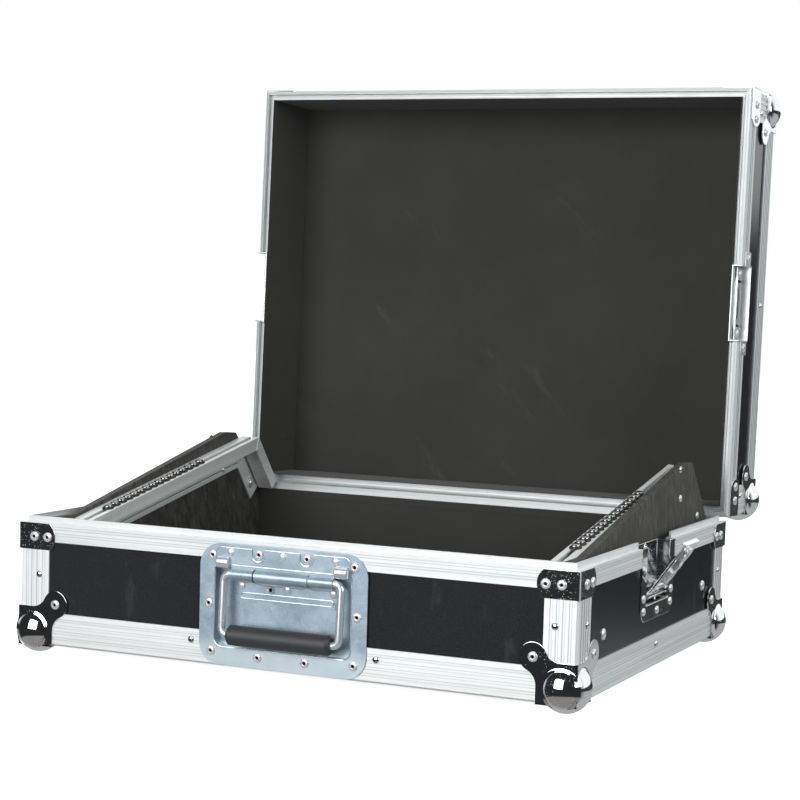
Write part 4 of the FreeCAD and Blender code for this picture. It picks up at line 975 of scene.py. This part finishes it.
# rack screws: cup washers and pan heads with a cross recess painted with dark shade; painted shade lines lie along
# the rails' folds, and mitres are lines along the rails
rackLook = {"count": 16, "pitch": 11.5, "first": 114.3, "apexY": 371, "apexZ": 168.4, "slotX": 232.75,
            "headRadius": 4.3, "washerRadius": 5.7, "headLow": 1.4,
            "cup": ((0.5, 0), (1, 0), (1, 0.5), (0.93, 1.2), (0.84, 1.75), (0.76, 1.8), (0.6, 1.0), (0.5, 0.9),
                    (0.5, 0)),
            "seams": ((((-325, -24.6), (-18, -24.6)), 0.4), (((-190, -19.5), (-14, -19.5)), 0.25)),
            "mitres": ((((-7.2, -12.4), (0, 0)), 0.5),), "mitreIn": 44}


def panHead(radius):
    shape = [(0.52, -0.6), (0.95, 0), (1, 0.14), (0.94, 0.38), (0.76, 0.55), (0.5, 0.62), (0.44, 0.6),
             (0.36, 0.12), (0, 0.1)]
    data = lathe([(r * radius, h * radius) for r, h in shape], 24)
    for vert in data.vertices:
        reach = vert.co.xy.length
        if 0.01 < reach < 0.45 * radius and vert.co.z > 0:
            bearing = math.atan2(vert.co.y, vert.co.x)
            keep = 0.34 + 0.66 * abs(math.cos(2 * bearing)) ** 0.6
            vert.co.x *= keep
            vert.co.y *= keep
    for face in data.polygons:
        face.material_index = int(face.center.xy.length < 0.3 * radius and face.center.z < 0.4 * radius)
    return data


railMatrix = (caseMatrix @ Matrix.Translation((0, rackLook["apexY"], rackLook["apexZ"]))
              @ Matrix.Rotation(math.radians(caseLook["railSlope"]), 4, "X"))
head = panHead(rackLook["headRadius"])
cup = lathe([(r * rackLook["washerRadius"], h) for r, h in rackLook["cup"]], 24)
lift = Matrix.Translation((0, 0, rackLook["headLow"]))
random.seed(7)
heads, cups = bmesh.new(), bmesh.new()
for side in (-1, 1):
    for index in range(rackLook["count"]):
        along = -rackLook["first"] - rackLook["pitch"] * index
        place = Matrix.Translation((side * rackLook["slotX"], along, 0))
        turn = Matrix.Rotation(random.uniform(0, math.tau), 4, "Z")
        spread(heads, head, [place @ lift @ turn])
        spread(cups, cup, [place])
# painted shade: dark lines along the rails' folds
seams, mitres = bmesh.new(), bmesh.new()
for side in (-1, 1):
    for mesh, x, paths in ((seams, flangeInner, rackLook["seams"]),
                           (mitres, halfWidth - rackLook["mitreIn"], rackLook["mitres"])):
        for path, radius in paths:
            turn = Matrix(((0, side, 0, side * x), (1, 0, 0, 0), (0, 0, 1, 0), (0, 0, 0, 1)))
            addWire(mesh, path, radius, turn, False)
finishPiece("railFoldShade", seams, railMatrix, "base", "rack_rail", screwSteel)
finishPiece("railMitres", mitres, railMatrix, "base", "rack_rail", steelAndHighlight)
finishPiece("rackScrewHeads", heads, railMatrix, "base", "zinc_steel", screwSteel, recessShade)
finishPiece("rackCupWashers", cups, railMatrix, "base", "grip_rubber", blackWasher)
print("rack screws placed")

# studio: glowing pale floor, soft boxes, and a surround that is bright behind and dark in front
studio = {"floorSize": 12.0, "floorGlow": 0.85, "bright": (1.1, 1.12, 1.12), "band": (0.045, 0.045, 0.045),
          "near": (0.45, 0.46, 0.46), "dark": (0.024, 0.025, 0.028), "low": (0.27, 0.263, 0.252),
          "white": (1, 1, 1), "floor": ((0.92, 0.92, 0.92), (0.95, 0.95, 0.95)), "aim": (0, 0, 0.2),
          "lowEdge": (-0.46, -0.56), "bandLow": (-0.174, -0.162), "bandTop": (0.02, 0.035), "turn": (-0.1, 0.35)}


def makeFloor():
    mesh = bmesh.new()
    bmesh.ops.create_grid(mesh, x_segments=1, y_segments=1, size=studio["floorSize"] / 2)
    finish = Finish("paleFloor", {"Roughness": 0.8, "Specular IOR Level": 0.1, "Emission Color": (1, 1, 1),
                                  "Emission Strength": studio["floorGlow"]})
    grain = finish.cloud(finish.place(), 40, 3.0)
    finish.paint(colour=finish.mix(grain, *studio["floor"]))
    data = asData(mesh)
    data.materials.append(finish.material)
    floor = bpy.data.objects.new("floor", data)
    floor.visible_glossy = False
    floor.visible_diffuse = False
    bpy.context.scene.collection.objects.link(floor)


def makeSurround():
    world = bpy.data.worlds.new("surround")
    bpy.context.scene.world = world
    around = Shading(world, "Background")
    spot = around.add("ShaderNodeTexCoord", {}, {})["Generated"]
    split = around.add("ShaderNodeSeparateXYZ", {}, {0: spot})
    front = around.mix(split["Z"].between(*studio["lowEdge"]), studio["dark"], studio["low"])
    behind = around.mix(split["Z"].between(*studio["bandLow"]), studio["near"], studio["band"])
    behind = around.mix(split["Z"].between(*studio["bandTop"]), behind, studio["bright"])
    both = around.mix(split["Y"].between(*studio["turn"]), front, behind)
    fromCamera = around.add("ShaderNodeLightPath", {}, {})["Is Camera Ray"]
    around.feed(around.shader.inputs["Color"], around.mix(fromCamera, both, studio["white"]))


softBoxes = {
    "key": {"place": (-0.40, -2.07, 0.8), "size": (1.5, 1.5), "power": 39},
    "side": {"place": (1.80, -0.55, 0.83), "size": (1.0, 1.0), "power": 15},
    "overhead": {"place": (0, 0, 2.2), "size": (2.0, 1.5), "power": 8},
    "bounce": {"place": (0, -0.64, 0.01), "size": (1.2, 0.12), "power": 1.4},
}


def makeSoftBoxes():
    for name, box in softBoxes.items():
        data = bpy.data.lights.new(name, "AREA")
        data.shape = "RECTANGLE"
        data.size, data.size_y = box["size"]
        data.energy = box["power"]
        light = bpy.data.objects.new(name, data)
        aim = Vector(studio["aim"]) - Vector(box["place"])
        turn = aim.to_track_quat("-Z", "Y").to_matrix().to_4x4()
        light.visible_glossy = name != "bounce"
        light.matrix_world = Matrix.Translation(box["place"]) @ turn
        bpy.context.scene.collection.objects.link(light)


makeFloor()
makeSurround()
makeSoftBoxes()
bpy.context.scene.view_settings.view_transform = "Standard"
print("studio lit")
